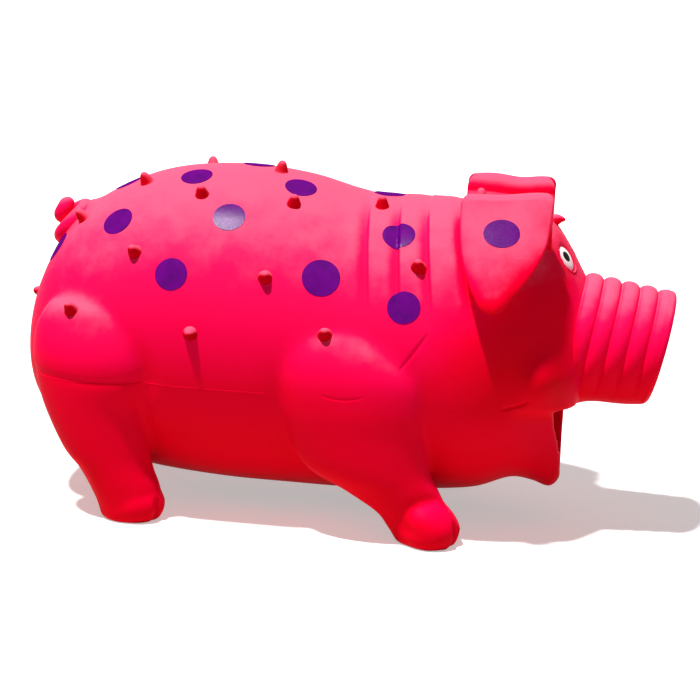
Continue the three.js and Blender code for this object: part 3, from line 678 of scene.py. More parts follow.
def pressSeams(obj):
    # a soft crease where each leg meets the trunk, and where each hoof meets its leg
    co = points(obj)
    x, y, z = fromMiddle(obj)
    sideways = np.abs(normals(obj)[:, 1])
    push = np.zeros(len(x))
    for leg in (frontLeg, rearLeg):
        fromTrunk, fromLeg = awayFrom(leg, x, y, z)
        side, topZ, hoof = trunkHalf(leg["x"]), leg["rows"][-1][0], leg["hoof"]
        meet = np.exp(-(fromTrunk ** 2 + fromLeg ** 2) / seams["width"] ** 2)
        push += leg["seam"] * meet * ease(topZ - z, *seams["fade"])
        up = z - hoof["z"]
        forward = x - hoof["x"] + hoof["lean"] * np.maximum(up, 0)
        hoofAt = np.stack([forward, y - side + hoof["depth"], up], 1) / hoof["size"]
        fromHoof = (np.linalg.norm(hoofAt, axis=1) - 1) * min(hoof["size"])
        hoofLine = np.exp(-(fromHoof ** 2 + fromLeg ** 2) / seams["hoofWidth"] ** 2)
        shown = ease(z, *seams["hoofHeight"]) * ease(sideways, *seams["hoofFacing"])
        push += leg["hoofSeam"] * hoofLine * shown
    move(obj, co - normals(obj) * (push * mm)[:, None])


def creaseLines(obj):
    for crease in creases:
        for side in (1, -1):
            line = np.array(crease["line"]) * [1, side, 1]
            line = curveThrough(line, np.linspace(0, 1, creaseMesh["samples"]))
            yield crease, np.array([obj.closest_point_on_mesh(Vector(p))[1] for p in toFrame(line)])


def pressCreases(obj, lines):
    co = points(obj)
    push = np.zeros(len(co))
    for crease, line in lines:
        away, share = distanceTo(co, line)
        taper = np.sqrt(np.sin(math.pi * np.clip(share, 0, 1)))
        push += crease["depth"] * mm * taper * np.exp(-(away / (crease["width"] * mm)) ** 2)
    move(obj, co - normals(obj) * push[:, None])


# nubs: blunt pegs all over, on the places seen and a like scatter on the far side
nub = {
    "profile": [
        (0, -1.0), (2.6, -1.0), (2.3, -0.2), (2.05, 0.3), (1.85, 0.9), (1.6, 1.7), (1.3, 2.5), (1.0, 3.0),
        (0.55, 3.35), (0, 3.45),
    ],
    # place along X and angle up from the side
    "right": [
        (-82, 67), (-63.4, 75), (-44.1, 60), (-16.3, 60), (9.2, 73), (-61.4, 35), (-21.5, 27), (-42.4, 5),
        (22.5, 40), (-23, 84),
    ],
    "left": [
        (-94.6, 40), (-80, 45), (-64, 55), (-47.7, 71), (-26, 56), (7.4, 52), (-61.4, 25), (-21.5, 27),
        (-42.4, 5), (22.5, 40),
    ],
    "legs": [(-79.8, 42, 67.4), (-2.7, 44, 64.3)], "single": [(37.4, 9.5, 98.2), (-97.8, 0.4, 61.2)],
}


def onTrunk(x, angle, side):
    top, bottom, half = trunkAt(x)
    a = math.radians(angle)
    return spot(x, side * half * math.cos(a), (top + bottom) / 2 + (top - bottom) / 2 * math.sin(a))


def onSkin(obj, place):
    _, at, out, _ = obj.closest_point_on_mesh(place)
    return at, out


places = [onTrunk(x, angle, -1) for x, angle in nub["right"]]
places += [onTrunk(x, angle, 1) for x, angle in nub["left"]]
places += [spot(x, side * y, z) for x, y, z in nub["legs"] for side in (-1, 1)]
places += [spot(*p) for p in nub["single"]]
nubSeats = [onSkin(body, place) for place in places]  # found before the skin is pressed

lines = list(creaseLines(body))
fineLines = [line for crease, line in lines if crease["width"] < creaseMesh["fineWidth"]]


def nearCrease(co):
    return np.min([distanceTo(co, line)[0] for line in fineLines], axis=0) < creaseMesh["refineWithin"] * mm


refine(body, nearPleat, pleats["cuts"])
refine(body, nearCrease, creaseMesh["cuts"])
pressSeams(body)
hollow = pressPleats(body)
# painted shade: the grooves count as facing less upward by their depth, so they lose the painted sheen and
# turn redder
keepPlace(body, hollow * pleats["shade"])
pressCreases(body, lines)
print("skin pressed,", len(body.data.polygons), "faces")
body.data.materials.append(latex)
smoothShade(body)
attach(body, "casting")
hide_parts("torso_skin", "head_skin", "lower_jaw", "front_leg_right", "front_leg_left",
            "rear_leg_right", "rear_leg_left")

# snout: rings from the face to a flat end with two nostrils
snout = {
    "base": (66.0, 58.2), "tip": (96.0, 57.2), "lean": 11.5,
    "baseSize": (23.2, 21.6), "tipSize": (19.5, 17.8),
    "rings": 5, "ringLength": 5.7, "depth": 1.6, "fadeLow": -0.72, "fadeHigh": -0.36, "sunk": 3.0,
    "ringSteps": 14, "lastShare": 0.6, "lastSteps": 9,
    "waist": 0.075, "waistAt": 0.42, "waistLength": 0.26, "flare": 0.13, "flareLength": 0.23,
    "edge": 1.8, "edgeFrom": 0.15, "edgeSteps": 7,
    "dish": 0.8, "dishSteps": (0.12, 0.25, 0.4, 0.55, 0.7, 0.85, 1.0),
    "nostrilSpread": 7.5, "nostrilSize": (3.0, 4.3), "nostrilDepth": 2.4, "nostrilLift": 1.0,
    "nostrilEdge": 1.15, "nostrilSoft": 0.55, "front": (-3.5, -1.5), "shadeOffset": 0.12,
}


def snoutProfile(length):
    # rows from the hidden root to the middle of the end:
    # place along, share drawn in, depth below the ring tops
    start = length - snout["rings"] * snout["ringLength"]
    depth, edge = snout["depth"], snout["edge"]
    profile = [(-snout["sunk"], 1.0, depth), (-snout["sunk"], 0.0, depth), (start / 2, 0.0, depth)]
    fullRing = np.linspace(0, 1, snout["ringSteps"])[:-1]
    lastRing = np.linspace(0, snout["lastShare"], snout["lastSteps"])
    for ring in range(snout["rings"]):
        for f in lastRing if ring == snout["rings"] - 1 else fullRing:
            bulge = 1 - math.sqrt(math.sin(math.pi * f)) if f > 0 else 1.0
            profile.append((start + (ring + f) * snout["ringLength"], 0.0, depth * bulge))
    for a in np.linspace(snout["edgeFrom"], 1, snout["edgeSteps"]) * math.pi / 2:
        profile.append((length - edge + edge * math.sin(a), 0.0, edge * (1 - math.cos(a))))
    for f in snout["dishSteps"]:
        profile.append((length - snout["dish"] * math.sin(min(f * 2, 1) * math.pi / 2), f, edge))
    return np.array(profile)


def snoutForm():
    base, tip = np.array(snout["base"]), np.array(snout["tip"])
    length = np.linalg.norm(tip - base)
    profile = snoutProfile(length)
    lean = math.radians(snout["lean"])

    def place(t, angle):
        u = t * (len(profile) - 1)
        i = np.arange(len(profile))
        along, drawn, cut = (np.interp(u, i, profile[:, k]) for k in range(3))
        share = along / length
        wide = snout["baseSize"][0] + (snout["tipSize"][0] - snout["baseSize"][0]) * share
        high = snout["baseSize"][1] + (snout["tipSize"][1] - snout["baseSize"][1]) * share
        fade = ease(np.sin(angle), snout["fadeLow"], snout["fadeHigh"])
        cut = np.where(along > length - snout["edge"], cut, cut * fade)
        under = np.clip(-np.sin(angle), 0, 1)
        flare = 1 + snout["flare"] * under * np.exp(-(share / snout["flareLength"]) ** 2)
        y = (wide - cut) * (1 - drawn) * np.cos(angle) * flare
        rise = (high - cut) * (1 - drawn) * np.sin(angle)
        waist = np.exp(-((share - snout["waistAt"]) / snout["waistLength"]) ** 2)
        rise *= 1 - snout["waist"] * under * waist
        rise *= flare
        x = base[0] + (tip[0] - base[0]) * share + rise * math.sin(lean)
        return np.stack([x, y, base[1] + (tip[1] - base[1]) * share + rise * math.cos(lean)], 1)

    form = formed("snout", place, around=112, along=len(profile) - 1)
    useModifier(form, "SUBSURF", levels=1, render_levels=1)
    co = points(form)
    out = np.array([math.cos(lean), 0, -math.sin(lean)])
    upward = np.array([math.sin(lean), 0, math.cos(lean)])
    local = (co - toFrame([tip[0], 0, tip[1]])) / mm
    high = local @ upward - snout["nostrilLift"]
    front = ease(local @ out, *snout["front"])
    press = np.zeros(len(co))
    for side in (-1, 1):
        a = (local[:, 1] - side * snout["nostrilSpread"]) / snout["nostrilSize"][0]
        b = high / snout["nostrilSize"][1]
        press += ease(snout["nostrilEdge"] - np.sqrt(a * a + b * b), 0, snout["nostrilSoft"])
    move(form, co - out * (press * front * snout["nostrilDepth"] * mm)[:, None])
    return form


# painted shade: the snout is offset towards red and keeps less of the painted sheen
nose = smoothShade(keepPlace(snoutForm(), snout["shadeOffset"]))
nose.data.materials.append(latex)
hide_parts("snout_bellows", "nose_tip")
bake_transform(nose)
print("snout formed,", len(nose.data.polygons), "faces")

# ears: a root standing on the crown, a rounded fold and a hanging flap
ear = {
    # these differ from side to side: -1 is the right ear, 1 the left
    "rear": {-1: 33.8, 1: 32.4}, "width": {-1: 26.8, 1: 27.8}, "corner": {-1: 1.7, 1: 2.3},
    "lift": {-1: 1.6, 1: -0.4}, "dip": {-1: 0.0, 1: 1.2},
    "liftAcross": (0.3, 1), "liftFade": 14.0, "dipAt": 0.62, "dipWidth": 0.24,
    "foldY": 25.0, "foldZ": 101.5, "foldRadius": 2.0, "foldSteps": 15, "inset": 0.7,
    "rootLean": 24, "rootLength": 22.0, "rootEnd": 0.6, "rootSteps": 24, "rootFlare": 1.5, "flareShare": 0.65,
    "roll": 0.9, "rollFrom": (0.8, 2.6), "rollTo": 12, "rollFade": 8,
    "hang": 33, "curl": 4, "thickness": 2.8, "length": 34.6, "tipAcross": 11.4,
    "flapSteps": 44, "acrossSteps": 30,
    # rows before and past the flap's start over which the bow comes in, and rows before the tip where it ends
    "bow": 1.5, "bowPower": 4, "bowRows": (13, 1), "bowEnd": 9,
    # painted light on the ears: extra painted sheen at the fold, and painted shade that grows further down
    # the flap
    "shadeOffset": (-0.22, 0.42), "shadeFall": (4.0, 24.0),
    # root of the share of the way up from the tip, then how far behind and ahead of the tip the edges lie
    "outline": [
        [0, 0, 0], [0.36, 4.6, 4.6], [0.5, 6.9, 7.8], [0.66, 9.2, 11.6], [0.8, 10.6, 14.2], [1, 11.4, 15.4],
    ],
}


def earLine(side):
    # the ear's section from root to tip, where its edges lie in each row, and the flap's first row
    lean, hang = math.radians(ear["rootLean"]), math.radians(ear["hang"])
    up = np.array([math.sin(lean), math.cos(lean)])
    outward = np.array([math.cos(lean), -math.sin(lean)])
    centre = np.array([ear["foldY"], ear["foldZ"]])
    centre = centre - ear["inset"] * np.array([math.cos(hang), math.sin(hang)])
    wall = centre - ear["foldRadius"] * outward
    down = np.linspace(ear["rootLength"], ear["rootEnd"], ear["rootSteps"])
    rolled = ear["roll"] * ease(down, *ear["rollFrom"]) * ease(ear["rollTo"] - down, 0, ear["rollFade"])
    bend = np.linspace(math.pi - lean, hang, ear["foldSteps"])
    line = list(wall - np.outer(down, up) + np.outer(rolled, outward))
    line += list(centre + ear["foldRadius"] * np.stack([np.cos(bend), np.sin(bend)], 1))
    flapFrom = len(line)
    flare = np.interp(np.arange(flapFrom), [0, ear["flareShare"] * ear["rootSteps"]], [1, 0])
    edges = [(-out, ear["width"][side] + out) for out in ear["rootFlare"] * flare ** 2]
    corner = line[-1]
    rows = np.array(ear["outline"])
    rows[:, 2] *= (ear["width"][side] - ear["tipAcross"]) / rows[-1, 2]  # as wide as the fold at its top
    for q in np.sin(np.linspace(1, 0, ear["flapSteps"])[1:] * math.pi / 2):
        s = ear["length"] * (1 - q * q)
        turned = hang + math.radians(ear["curl"]) * s / ear["length"]
        line.append(corner + s * np.array([math.sin(turned), -math.cos(turned)]))
        t = np.array([np.interp(q, rows[:, 0], np.linspace(0, 1, len(rows)))])
        _, behind, before = curveThrough(rows, t)[0]
        edges.append((ear["tipAcross"] - behind, ear["tipAcross"] + before))
    line, edges = np.array(line), np.array(edges)
    below = np.clip((line[:, 1].max() - line[:, 1]) / ear["corner"][side], 0, 1)
    drawn = ear["corner"][side] * (1 - np.sqrt(1 - (1 - below) ** 2))  # rounds the fold's two ends
    return line, edges + np.stack([drawn, -drawn], 1), flapFrom


def earForm(name, side):
    line, edges, flapFrom = earLine(side)
    last = len(line) - 1
    bpy.ops.object.select_all(action="DESELECT")
    bpy.ops.mesh.primitive_grid_add(x_subdivisions=ear["acrossSteps"], y_subdivisions=last, size=2)
    flap = fresh(name)
    co = points(flap)
    row = np.rint((co[:, 1] + 1) / 2 * last).astype(int)
    f = (co[:, 0] + 1) / 2
    x = ear["rear"][side] + edges[row, 0] + f * (edges[row, 1] - edges[row, 0])
    before, past = ear["bowRows"]
    bow = ear["bow"] * (1 - np.abs(2 * f - 1) ** ear["bowPower"])
    bow = bow * ease(row, flapFrom - before, flapFrom + past) * ease(last - row, 0, ear["bowEnd"])
    lifted = ease(f if side < 0 else 1 - f, *ear["liftAcross"]) * ear["lift"][side]
    lifted -= ear["dip"][side] * np.exp(-((f - ear["dipAt"]) / ear["dipWidth"]) ** 2)
    lifted *= 1 - ease(line[:, 1].max() - line[row, 1], 0, ear["liftFade"])
    hang = math.radians(ear["hang"])
    y = line[row, 0] + bow * math.cos(hang)
    move(flap, toFrame(np.stack([x, side * y, line[row, 1] + bow * math.sin(hang) + lifted], 1)))
    closeUp(flap)
    useModifier(flap, "SOLIDIFY", thickness=ear["thickness"] * mm, offset=0)
    useModifier(flap, "SUBSURF", levels=1, render_levels=1)
    closeUp(flap)
    # painted sheen at the top of the ear, painted shade lower down
    fall = ear["foldZ"] - points(flap)[:, 2] / mm
    return smoothShade(keepPlace(flap, ear["shadeOffset"][0] + ear["shadeOffset"][1] * ease(fall, *ear["shadeFall"])))


ears = {}
for side, hand in ((1, "left"), (-1, "right")):
    flap = earForm("ear" + hand.capitalize(), side)
    flap.data.materials.append(latex)
    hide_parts("ear_" + hand)
    spot(47, side * 23.2, 101.5)
    spot(47, side * 26.8, 101.5)
    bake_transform(flap)
    ears[side] = flap
print("ears formed")

# tail: a corkscrew that leaves the rump and leans back
tail = {
    "root": (-85.3, 82.3), "tilt": 40, "turns": 2, "pitch": 5.2, "coil": (8.6, 1.0), "radius": (2.8, 2.4),
    "tipFrom": 0.92, "tipLength": 0.08, "steps": 72, "sides": 8,
}


def tailForm():
    tilt = math.radians(tail["tilt"])
    axis = Vector((-math.sin(tilt), 0, math.cos(tilt)))
    ahead = Vector((axis.z, 0, -axis.x))
    root = spot(tail["root"][0], 0, tail["root"][1])
    places, radii = [], []
    for i in range(tail["steps"] + 1):
        share = i / tail["steps"]
        turn = share * tail["turns"] * 2 * math.pi
        coil = tail["coil"][0] + (tail["coil"][1] - tail["coil"][0]) * share
        out = ahead * math.cos(turn) + Vector((0, math.sin(turn), 0))
        places.append(root + axis * (share * tail["turns"] * tail["pitch"] * mm) + out * (coil * mm))
        radius = tail["radius"][0] + (tail["radius"][1] - tail["radius"][0]) * share
        past = max(0.0, (share - tail["tipFrom"]) / tail["tipLength"])
        radii.append(radius * math.sqrt(max(0.0, 1 - past ** 2)))
    return smoothShade(keepPlace(strand("tailCurl", "NURBS", places, radii, 1.0, tail["sides"])))


curl = tailForm()
curl.data.materials.append(latex)
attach(curl, "casting")
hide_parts("tail")
print("tail formed")


def nubAt(name, place, out):
    profile = np.array(nub["profile"])

    def ring(t, angle):
        u = t * (len(profile) - 1)
        i = np.arange(len(profile))
        r, h = np.interp(u, i, profile[:, 0]), np.interp(u, i, profile[:, 1])
        return np.stack([r * np.cos(angle), r * np.sin(angle), h], 1)

    peg = formed(name, ring, around=20, along=27)
    turn = np.array(out.to_track_quat("Z", "Y").to_matrix())
    move(peg, (points(peg) - [shift, 0, 0]) @ turn.T + np.array(place))
    return peg


pegs = [nubAt("nub", at, out) for at, out in nubSeats]
nubs = smoothShade(keepPlace(joined("nubs", pegs)))
nubs.data.materials.append(nubLatex)
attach(nubs, "casting")
print("nubs set,", len(pegs))

# forelock: a small hook on the brow
forelock = {
    "points": [(58.9, 91.0), (59.8, 93.6), (61.6, 95.2), (64.0, 94.9)],
    "radius": [2.5, 2.3, 1.8, 0.4], "sides": 6,
}
hookPlaces = [spot(x, 0, z) for x, z in forelock["points"]]
hook = strand("forelock", "NURBS", hookPlaces, forelock["radius"], 1.0, forelock["sides"], order=3)
lock = smoothShade(keepPlace(hook))
lock.data.materials.append(latex)
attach(lock, "casting")
print("forelock formed")

# painted dots: thin films laid on the latex, some with a radius of their own
dots = {
    "radius": 4.85, "earRadius": 5.3, "earFlat": 0.84, "earPlace": (46.3, 35.6, 95.8),
    "thickness": 0.1, "lift": 0.06, "sides": 56, "insets": 6, "probes": 12, "above": 4.0, "edgeAngle": 40,
    "body": [
        (-68.9, -24.6, 89.8), (-47.7, -12.2, 103.1), (-15.5, -13.5, 101.9), (-49.4, -38.5, 77.5),
        (-34.5, -28.2, 93.8), (-5.3, -36.6, 79, 5.6), (15.7, -24, 90.7), (19.5, -38.1, 72.1),
        (-70.6, -1.5, 98), (-31, 2.5, 106), (10, 1.5, 99), (-90.2, -12.5, 78.5),
        (-54, 28, 93), (-42, 39, 76), (-20, 30, 92), (-4, 38, 76), (17, 27, 89), (24, 39, 68), (-71, 37, 72),
    ],
    # two tones of the paint: where each stands in the patches and its shares of red, green and blue
    "colour": (0.125, 0.0, 0.19), "dim": (0.3, (0.75, 1, 0.8)), "bright": (0.7, (1.15, 1, 1.1)),
    "patchScale": 260.0, "patchDetail": 3.0, "grainScale": 2200.0, "grainDetail": 2.0,
    "grainStrength": 0.6, "grainDepth": 0.00008, "roughness": 0.25, "gloss": 0.0085,
}


def dotMaterial():
    made, tree, skin = material("violet_paint")
    place = node(tree, "Attribute", attribute_name="restPlace").outputs["Vector"]
    patch = noise(tree, place, dots["patchScale"], dots["patchDetail"])
    stops = [(at, tinted(dots["colour"], shares)) for at, shares in (dots["dim"], dots["bright"])]
    tree.links.new(ramp(tree, patch, stops), skin.inputs["Base Color"])
    grain = noise(tree, place, dots["grainScale"], dots["grainDetail"])
    bump = bumped(tree, grain, dots["grainStrength"], dots["grainDepth"])
    tree.links.new(bump, skin.inputs["Normal"])
    setSockets(skin, {"Specular IOR Level": 0.0})
    shine = node(tree, "BsdfGlossy", {"Roughness": dots["roughness"], "Normal": bump})
    both = node(tree, "MixShader", {0: dots["gloss"], 1: skin.outputs[0], 2: shine.outputs[0]})
    tree.links.new(both.outputs[0], tree.nodes["Material Output"].inputs[0])
    return made


violet = dotMaterial()


def dotOn(name, target, place, radius, flat=1.0):
    # the film faces the way the skin faces on the whole, and is then laid on it
    at, out = onSkin(target, place)
    side = out.orthogonal().normalized()
    turns = np.linspace(0, 2 * math.pi, dots["probes"])
    around = [side * math.cos(a) + out.cross(side) * math.sin(a) for a in turns]
    out = sum((onSkin(target, at + step * radius * mm)[1] for step in around), out).normalized()
    bpy.ops.object.select_all(action="DESELECT")
    bpy.ops.mesh.primitive_circle_add(vertices=dots["sides"], radius=radius * mm, fill_type="NGON")
    film = fresh(name)
    bpy.ops.object.mode_set(mode="EDIT")
    bpy.ops.mesh.select_all(action="SELECT")
    for _ in range(dots["insets"]):
        bpy.ops.mesh.inset(thickness=radius * mm / (dots["insets"] + 1))
    bpy.ops.mesh.poke()
    bpy.ops.object.mode_set(mode="OBJECT")
    move(film, points(film) * [1, flat, 1])
    turn = out.to_track_quat("Z", "Y").to_matrix().to_4x4()
    film.matrix_world = Matrix.Translation(at + out * (dots["above"] * mm)) @ turn
    useModifier(film, "SHRINKWRAP", target=target, wrap_method="PROJECT", use_project_z=True,
                use_negative_direction=True, use_positive_direction=False,
                offset=(dots["lift"] + dots["thickness"]) * mm)
    bpy.ops.object.transform_apply(location=True, rotation=True, scale=True)
    useModifier(film, "SOLIDIFY", thickness=dots["thickness"] * 2 * mm, offset=-1)
    pick(film)
    bpy.ops.object.shade_smooth_by_angle(angle=math.radians(dots["edgeAngle"]))
    return film


films = [dotOn("dot", body, spot(*p[:3]), *(p[3:] or [dots["radius"]])) for p in dots["body"]]
bodyDots = keepPlace(joined("bodyDots", films))
bodyDots.data.materials.append(violet)
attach(bodyDots, "casting")
for side, hand in ((-1, "right"), (1, "left")):
    x, y, z = dots["earPlace"]
    place = spot(x, side * y, z)
    film = dotOn("earDot" + hand.capitalize(), ears[side], place, dots["earRadius"], dots["earFlat"])
    keepPlace(film)
    film.data.materials.append(violet)
    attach(film, hand + "_ear")
print("dots laid,", len(films) + len(ears))

# parting line of the mould, a fine ridge along each side
parting = {
    "height": 44.4, "from": -93, "to": -19, "step": 0.8, "outside": 90,
    "radius": 0.17, "sides": 1, "sink": 0.08, "shadeOffset": 0.45,
}


def partingForm():
    ridges = []
    for side in (-1, 1):
        found = []
        for x in np.arange(parting["from"], parting["to"], parting["step"]):
            outside = spot(x, side * parting["outside"], parting["height"])
            hit, at, out, _ = body.ray_cast(outside, Vector((0, -side, 0)))
            if hit:
                found.append(at - out * (parting["sink"] * mm))
        even = [1.0] * len(found)
        ridges.append(strand("partingLine", "POLY", found, even, parting["radius"], parting["sides"]))
    # painted shade: the ridge is offset so that it shows no painted sheen and stays red
    return smoothShade(keepPlace(joined("partingLine", ridges), parting["shadeOffset"]))


ridge = partingForm()
ridge.data.materials.append(latex)
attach(ridge, "casting")
print("parting line laid")

# eyes: a painted dome in a shallow socket
eye = {
    "half": (3.35, 4.1), "rise": 0.5, "sink": 1.0, "turn": 7, "forward": (6.6, 0.9, 4.3),
    "socket": 1.0, "socketEdge": 1.2, "socketSoft": 0.2, "socketReach": 4,
    "rim": 0.26, "rimGap": 0.7, "rimLift": 0.05, "rimFrom": 195, "rimTo": 365, "rimEnd": 0.01, "rimSteps": 48,
    "rimSides": 3,
    "white": (0.92, 0.9, 0.88), "blush": (0.9, 0.3, 0.36), "black": (0.004, 0.003, 0.004),
    "blushFrom": (0.6, 0.95), "blushShare": 0.35, "pupilEdge": (1.06, 0.94),
    "pupil": (-0.34, 0.16), "pupilSize": (0.39, 0.41), "roughness": 0.35, "specular": 0.04,
}


def eyeMaterial():
    made, tree, skin = material("eye_paint")
    face = node(tree, "Attribute", attribute_name="eyeFace").outputs["Vector"]
    u, v, _ = node(tree, "SeparateXYZ", {0: face}).outputs

    def ring(du, dv, su, sv):
        a = math2(tree, "DIVIDE", math2(tree, "SUBTRACT", u, du), su)
        b = math2(tree, "DIVIDE", math2(tree, "SUBTRACT", v, dv), sv)
        both = math2(tree, "ADD", math2(tree, "MULTIPLY", a, a), math2(tree, "MULTIPLY", b, b))
        return node(tree, "Math", {0: both}, operation="SQRT").outputs[0]

    blush = spread(tree, ring(0, 0, 1, 1), eye["blushFrom"], (0.0, eye["blushShare"]))
    pupil = spread(tree, ring(*eye["pupil"], *eye["pupilSize"]), eye["pupilEdge"])
    base = mixed(tree, blush, (*eye["white"], 1), (*eye["blush"], 1))
    full = mixed(tree, pupil, base, (*eye["black"], 1))
    tree.links.new(full, skin.inputs["Base Color"])
    setSockets(skin, {"Roughness": eye["roughness"], "Specular IOR Level": eye["specular"]})
    return made


paint = eyeMaterial()


def eyeSeat(cadName):
    low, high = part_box(cadName)
    ahead, inward, upward = eye["forward"]
    middle = (low + high) / 2
    at, out = onSkin(body, middle + Vector((ahead, -math.copysign(inward, middle.y), upward)) * mm)
    up = (Vector((0, 0, 1)) - out * out.z).normalized()
    up = (Matrix.Rotation(math.radians(-eye["turn"] * math.copysign(1, at.y)), 3, out) @ up).normalized()
    return at, up.cross(out), up, out


def eyeForm(name, seat, mirrored):
    at, side, up, out = seat
    wide, tall = eye["half"]
    deep = eye["rise"] + eye["sink"]

    def place(t, angle):
        across, bulge = np.sin(t * math.pi), -np.cos(t * math.pi)
        return np.stack([across * np.cos(angle) * wide, across * np.sin(angle) * tall, bulge * deep], 1)

    ball = formed(name, place, around=64, along=40)
    local = (points(ball) - [shift, 0, 0]) / mm
    paintFace = ball.data.attributes.new("eyeFace", "FLOAT_VECTOR", "POINT")
    flat = np.stack([local[:, 0] / wide * (-1 if mirrored else 1), local[:, 1] / tall, local[:, 2]], 1)
    paintFace.data.foreach_set("vector", flat.astype(np.float32).ravel())
    local[:, 2] -= eye["sink"]
    turn = np.array(Matrix((side, up, out)).transposed())
    move(ball, (local * mm) @ turn.T + np.array(at))
    return smoothShade(ball)


def eyeRim(name, seat):
    at, side, up, _ = seat
    wide, tall = (half + eye["rimGap"] for half in eye["half"])
    hand = 1 if at.y < 0 else -1
    places, radii = [], []
    for share in np.linspace(0, 1, eye["rimSteps"]):
        a = math.radians(eye["rimFrom"] + (eye["rimTo"] - eye["rimFrom"]) * share)
        across = wide * math.cos(a) * hand
        skin, away = onSkin(body, at + (side * across + up * tall * math.sin(a)) * mm)
        places.append(skin + away * eye["rimLift"] * mm)
        radii.append(math.sqrt(math.sin(math.pi * min(max(share, eye["rimEnd"]), 1 - eye["rimEnd"]))))
    return smoothShade(keepPlace(strand(name, "POLY", places, radii, eye["rim"], eye["rimSides"])))


def pressSocket(seat):
    at, side, up, out = seat
    co = points(body)
    local = (co - np.array(at)) / mm
    u, v, w = (local @ np.array(axis) for axis in (side, up, out))
    across = np.sqrt((u / eye["half"][0]) ** 2 + (v / eye["half"][1]) ** 2)
    push = eye["socket"] * ease(eye["socketEdge"] - across, 0, eye["socketSoft"])
    push *= np.abs(w) < eye["socketReach"]
    move(body, co - np.array(out) * (push * mm)[:, None])


for hand in ("right", "left"):
    seat = eyeSeat("eye_" + hand)
    rim = eyeRim("eyeRim" + hand.capitalize(), seat)
    rim.data.materials.append(latex)
    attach(rim, "casting")
    pressSocket(seat)
    ball = eyeForm("eye" + hand.capitalize(), seat, hand == "left")
    ball.data.materials.append(paint)
    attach(ball, "casting")
    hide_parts("eye_" + hand)
print("eyes set")

# fibre: the wad inside, with room for the squeaker and the mouth
fibreLook = {
    "inset": 3.4, "roof": 4.0, "ends": (-96, 64), "behindMouth": 3, "roundSqueaker": 2,
    # two tones: where each stands among the strands and its share of the colour
    "colour": (0.86, 0.85, 0.82), "dim": (0.3, 0.8), "full": (0.65, 1.0),
    "strandScale": 420.0, "strandDetail": 6.0, "strandTwist": 1.6, "relief": 0.8, "reliefDepth": 0.001,
    "roughness": 0.95,
}


def fibreMaterial():
    made, tree, skin = material("polyester_fibre")
    place = node(tree, "TexCoord").outputs["Object"]
    strands = noise(tree, place, fibreLook["strandScale"], fibreLook["strandDetail"],
                    distortion=fibreLook["strandTwist"])
    stops = [(at, tinted(fibreLook["colour"], share)) for at, share in (fibreLook["dim"], fibreLook["full"])]
    tree.links.new(ramp(tree, strands, stops), skin.inputs["Base Color"])
    bump = bumped(tree, strands, fibreLook["relief"], fibreLook["reliefDepth"])
    tree.links.new(bump, skin.inputs["Normal"])
    setSockets(skin, {"Roughness": fibreLook["roughness"]})
    return made


def fibreForm():
    wad = formed("fibreWad", lambda t, angle: trunkPlace(t, angle, fibreLook["inset"]), around=72, along=110)
    co = points(wad)
    rear, front = fibreLook["ends"]
    co[:, 0] = np.clip(co[:, 0], rear * mm + shift, front * mm + shift)
    move(wad, co)
    closeUp(wad)
    carve(wad, belowMouth("chestRoom", mouth["back"] - fibreLook["behindMouth"], raised=fibreLook["roof"]))
    radius = squeaker["roomRadius"] + fibreLook["roundSqueaker"]
    top = squeaker["roomTop"] + squeaker["overlap"]
    return carve(wad, drum("squeakerRoom", radius, squeaker["below"], top))


wad = smoothShade(fibreForm())
wad.data.materials.append(fibreMaterial())
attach(wad, "casting")
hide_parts("fibre_fill")
print("fibre set")

# squeaker: the CAD pieces keep their shape and get a moulded finish
squeakerLook = {
    "colour": {"squeaker_plastic": (0.8, 0.79, 0.75), "reed_film": (0.62, 0.68, 0.66)},
    "roughness": {"squeaker_plastic": 0.42, "reed_film": 0.2},
    # two tones: where each stands in the mottling and its share of the colour
    "dim": (0.3, 0.9), "full": (0.7, 1.0), "mottleScale": 300.0, "mottleDetail": 3.0,
    "relief": 0.1, "reliefDepth": 0.0001,
}


def squeakerMaterial(name):
    made, tree, skin = material(name)
    place = node(tree, "TexCoord").outputs["Object"]
    mottle = noise(tree, place, squeakerLook["mottleScale"], squeakerLook["mottleDetail"])
    colour = squeakerLook["colour"][name]
    stops = [(at, tinted(colour, share)) for at, share in (squeakerLook["dim"], squeakerLook["full"])]
    tree.links.new(ramp(tree, mottle, stops), skin.inputs["Base Color"])
    bump = bumped(tree, mottle, squeakerLook["relief"], squeakerLook["reliefDepth"])
    tree.links.new(bump, skin.inputs["Normal"])
    setSockets(skin, {"Roughness": squeakerLook["roughness"][name]})
    return made


plastic, reedFilm = squeakerMaterial("squeaker_plastic"), squeakerMaterial("reed_film")
for name in ("squeaker_housing", "reed_block", "reed_clamp", "squeaker_cap", "reed"):
    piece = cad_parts[name]
    piece.data.materials.clear()
    piece.data.materials.append(reedFilm if name == "reed" else plastic)
print("squeaker finished")

# stage: pale floor, key light from above and a little warm light all round
stage = {
    "floor": (0.86, 0.86, 0.86), "floorBounce": (0.68, 0.68, 0.68), "floorGlow": 0.45, "floorRoughness": 0.9,
    "floorSize": 16.0, "aim": (0, 0, 50),
    "keyFrom": (-0.21, -0.25, 0.945), "keyDistance": 1.5, "keyAngle": 3, "keyLevel": 1.5,
    "boxFrom": (0.05, 0.3, 1), "boxDistance": 1.2, "boxSize": 1.5, "boxLevel": 0.12,
    "around": (1.0, 0.9, 0.88), "aroundLevel": 0.025,
}


def aimed(light, toward, distance):
    away = Vector(toward).normalized()
    turn = away.to_track_quat("Z", "Y").to_matrix().to_4x4()
    light.matrix_world = Matrix.Translation(spot(*stage["aim"]) + away * distance) @ turn
    return light


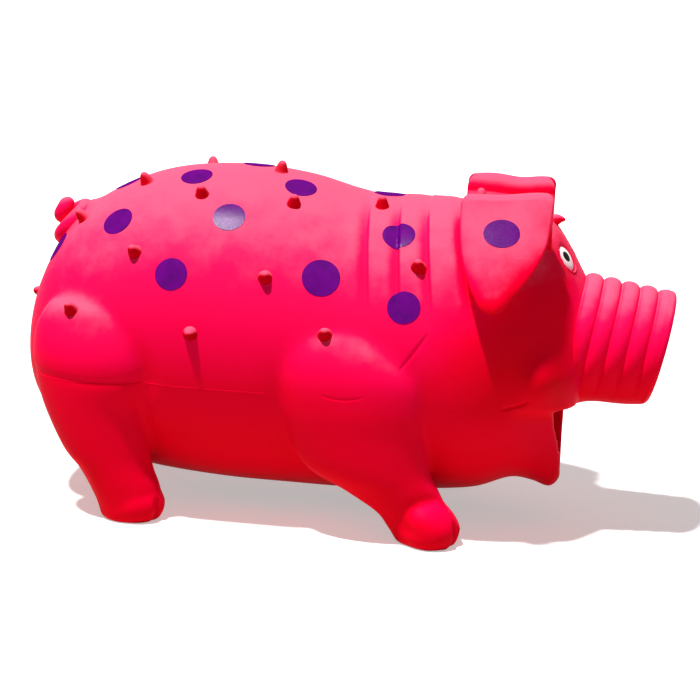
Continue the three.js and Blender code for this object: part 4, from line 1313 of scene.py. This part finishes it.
def setLights():
    bpy.ops.object.light_add(type="SUN")
    key = aimed(fresh("keyLight"), stage["keyFrom"], stage["keyDistance"])
    key.data.energy = stage["keyLevel"] * math.pi
    key.data.angle = math.radians(stage["keyAngle"])
    bpy.ops.object.light_add(type="AREA")
    softBox = aimed(fresh("softBox"), stage["boxFrom"], stage["boxDistance"])
    softBox.data.shape = "DISK"
    softBox.data.size = stage["boxSize"]
    softBox.data.energy = stage["boxLevel"] * (math.pi * stage["boxDistance"]) ** 2


def seenDirectly(tree):
    # one for rays from the camera, from a gloss or through something clear
    path = tree.nodes.new("ShaderNodeLightPath")
    shiny = math2(tree, "MAXIMUM", path.outputs["Is Glossy Ray"], path.outputs["Is Transmission Ray"])
    return math2(tree, "MAXIMUM", path.outputs["Is Camera Ray"], shiny)


def setFloor():
    bpy.ops.object.select_all(action="DESELECT")
    bpy.ops.mesh.primitive_plane_add(size=stage["floorSize"])
    floor = fresh("floor")
    made, tree, pale = material("pale_floor")
    setSockets(pale, {
        "Base Color": (*stage["floor"], 1),
        "Roughness": stage["floorRoughness"],
        "Specular IOR Level": 0.0,
        "Emission Color": (1, 1, 1, 1),
        "Emission Strength": stage["floorGlow"],
    })
    bounce = node(tree, "BsdfDiffuse", {"Color": (*stage["floorBounce"], 1)})
    both = node(tree, "MixShader", {0: seenDirectly(tree), 1: bounce.outputs[0], 2: pale.outputs[0]})
    tree.links.new(both.outputs[0], tree.nodes["Material Output"].inputs[0])
    floor.data.materials.append(made)


def setWorld():
    world = scene.world or bpy.data.worlds.new("studio")
    scene.world = world
    world.use_nodes = True
    tree = world.node_tree
    tree.nodes.clear()
    out = tree.nodes.new("ShaderNodeOutputWorld")
    soft = node(tree, "Background", {"Color": (*stage["around"], 1), "Strength": stage["aroundLevel"]})
    white = node(tree, "Background", {"Color": (1, 1, 1, 1), "Strength": 1.0})
    both = node(tree, "MixShader", {0: seenDirectly(tree), 1: soft.outputs[0], 2: white.outputs[0]})
    tree.links.new(both.outputs[0], out.inputs[0])
    scene.view_settings.view_transform = "Standard"


setLights()
setFloor()
setWorld()
print("stage set")
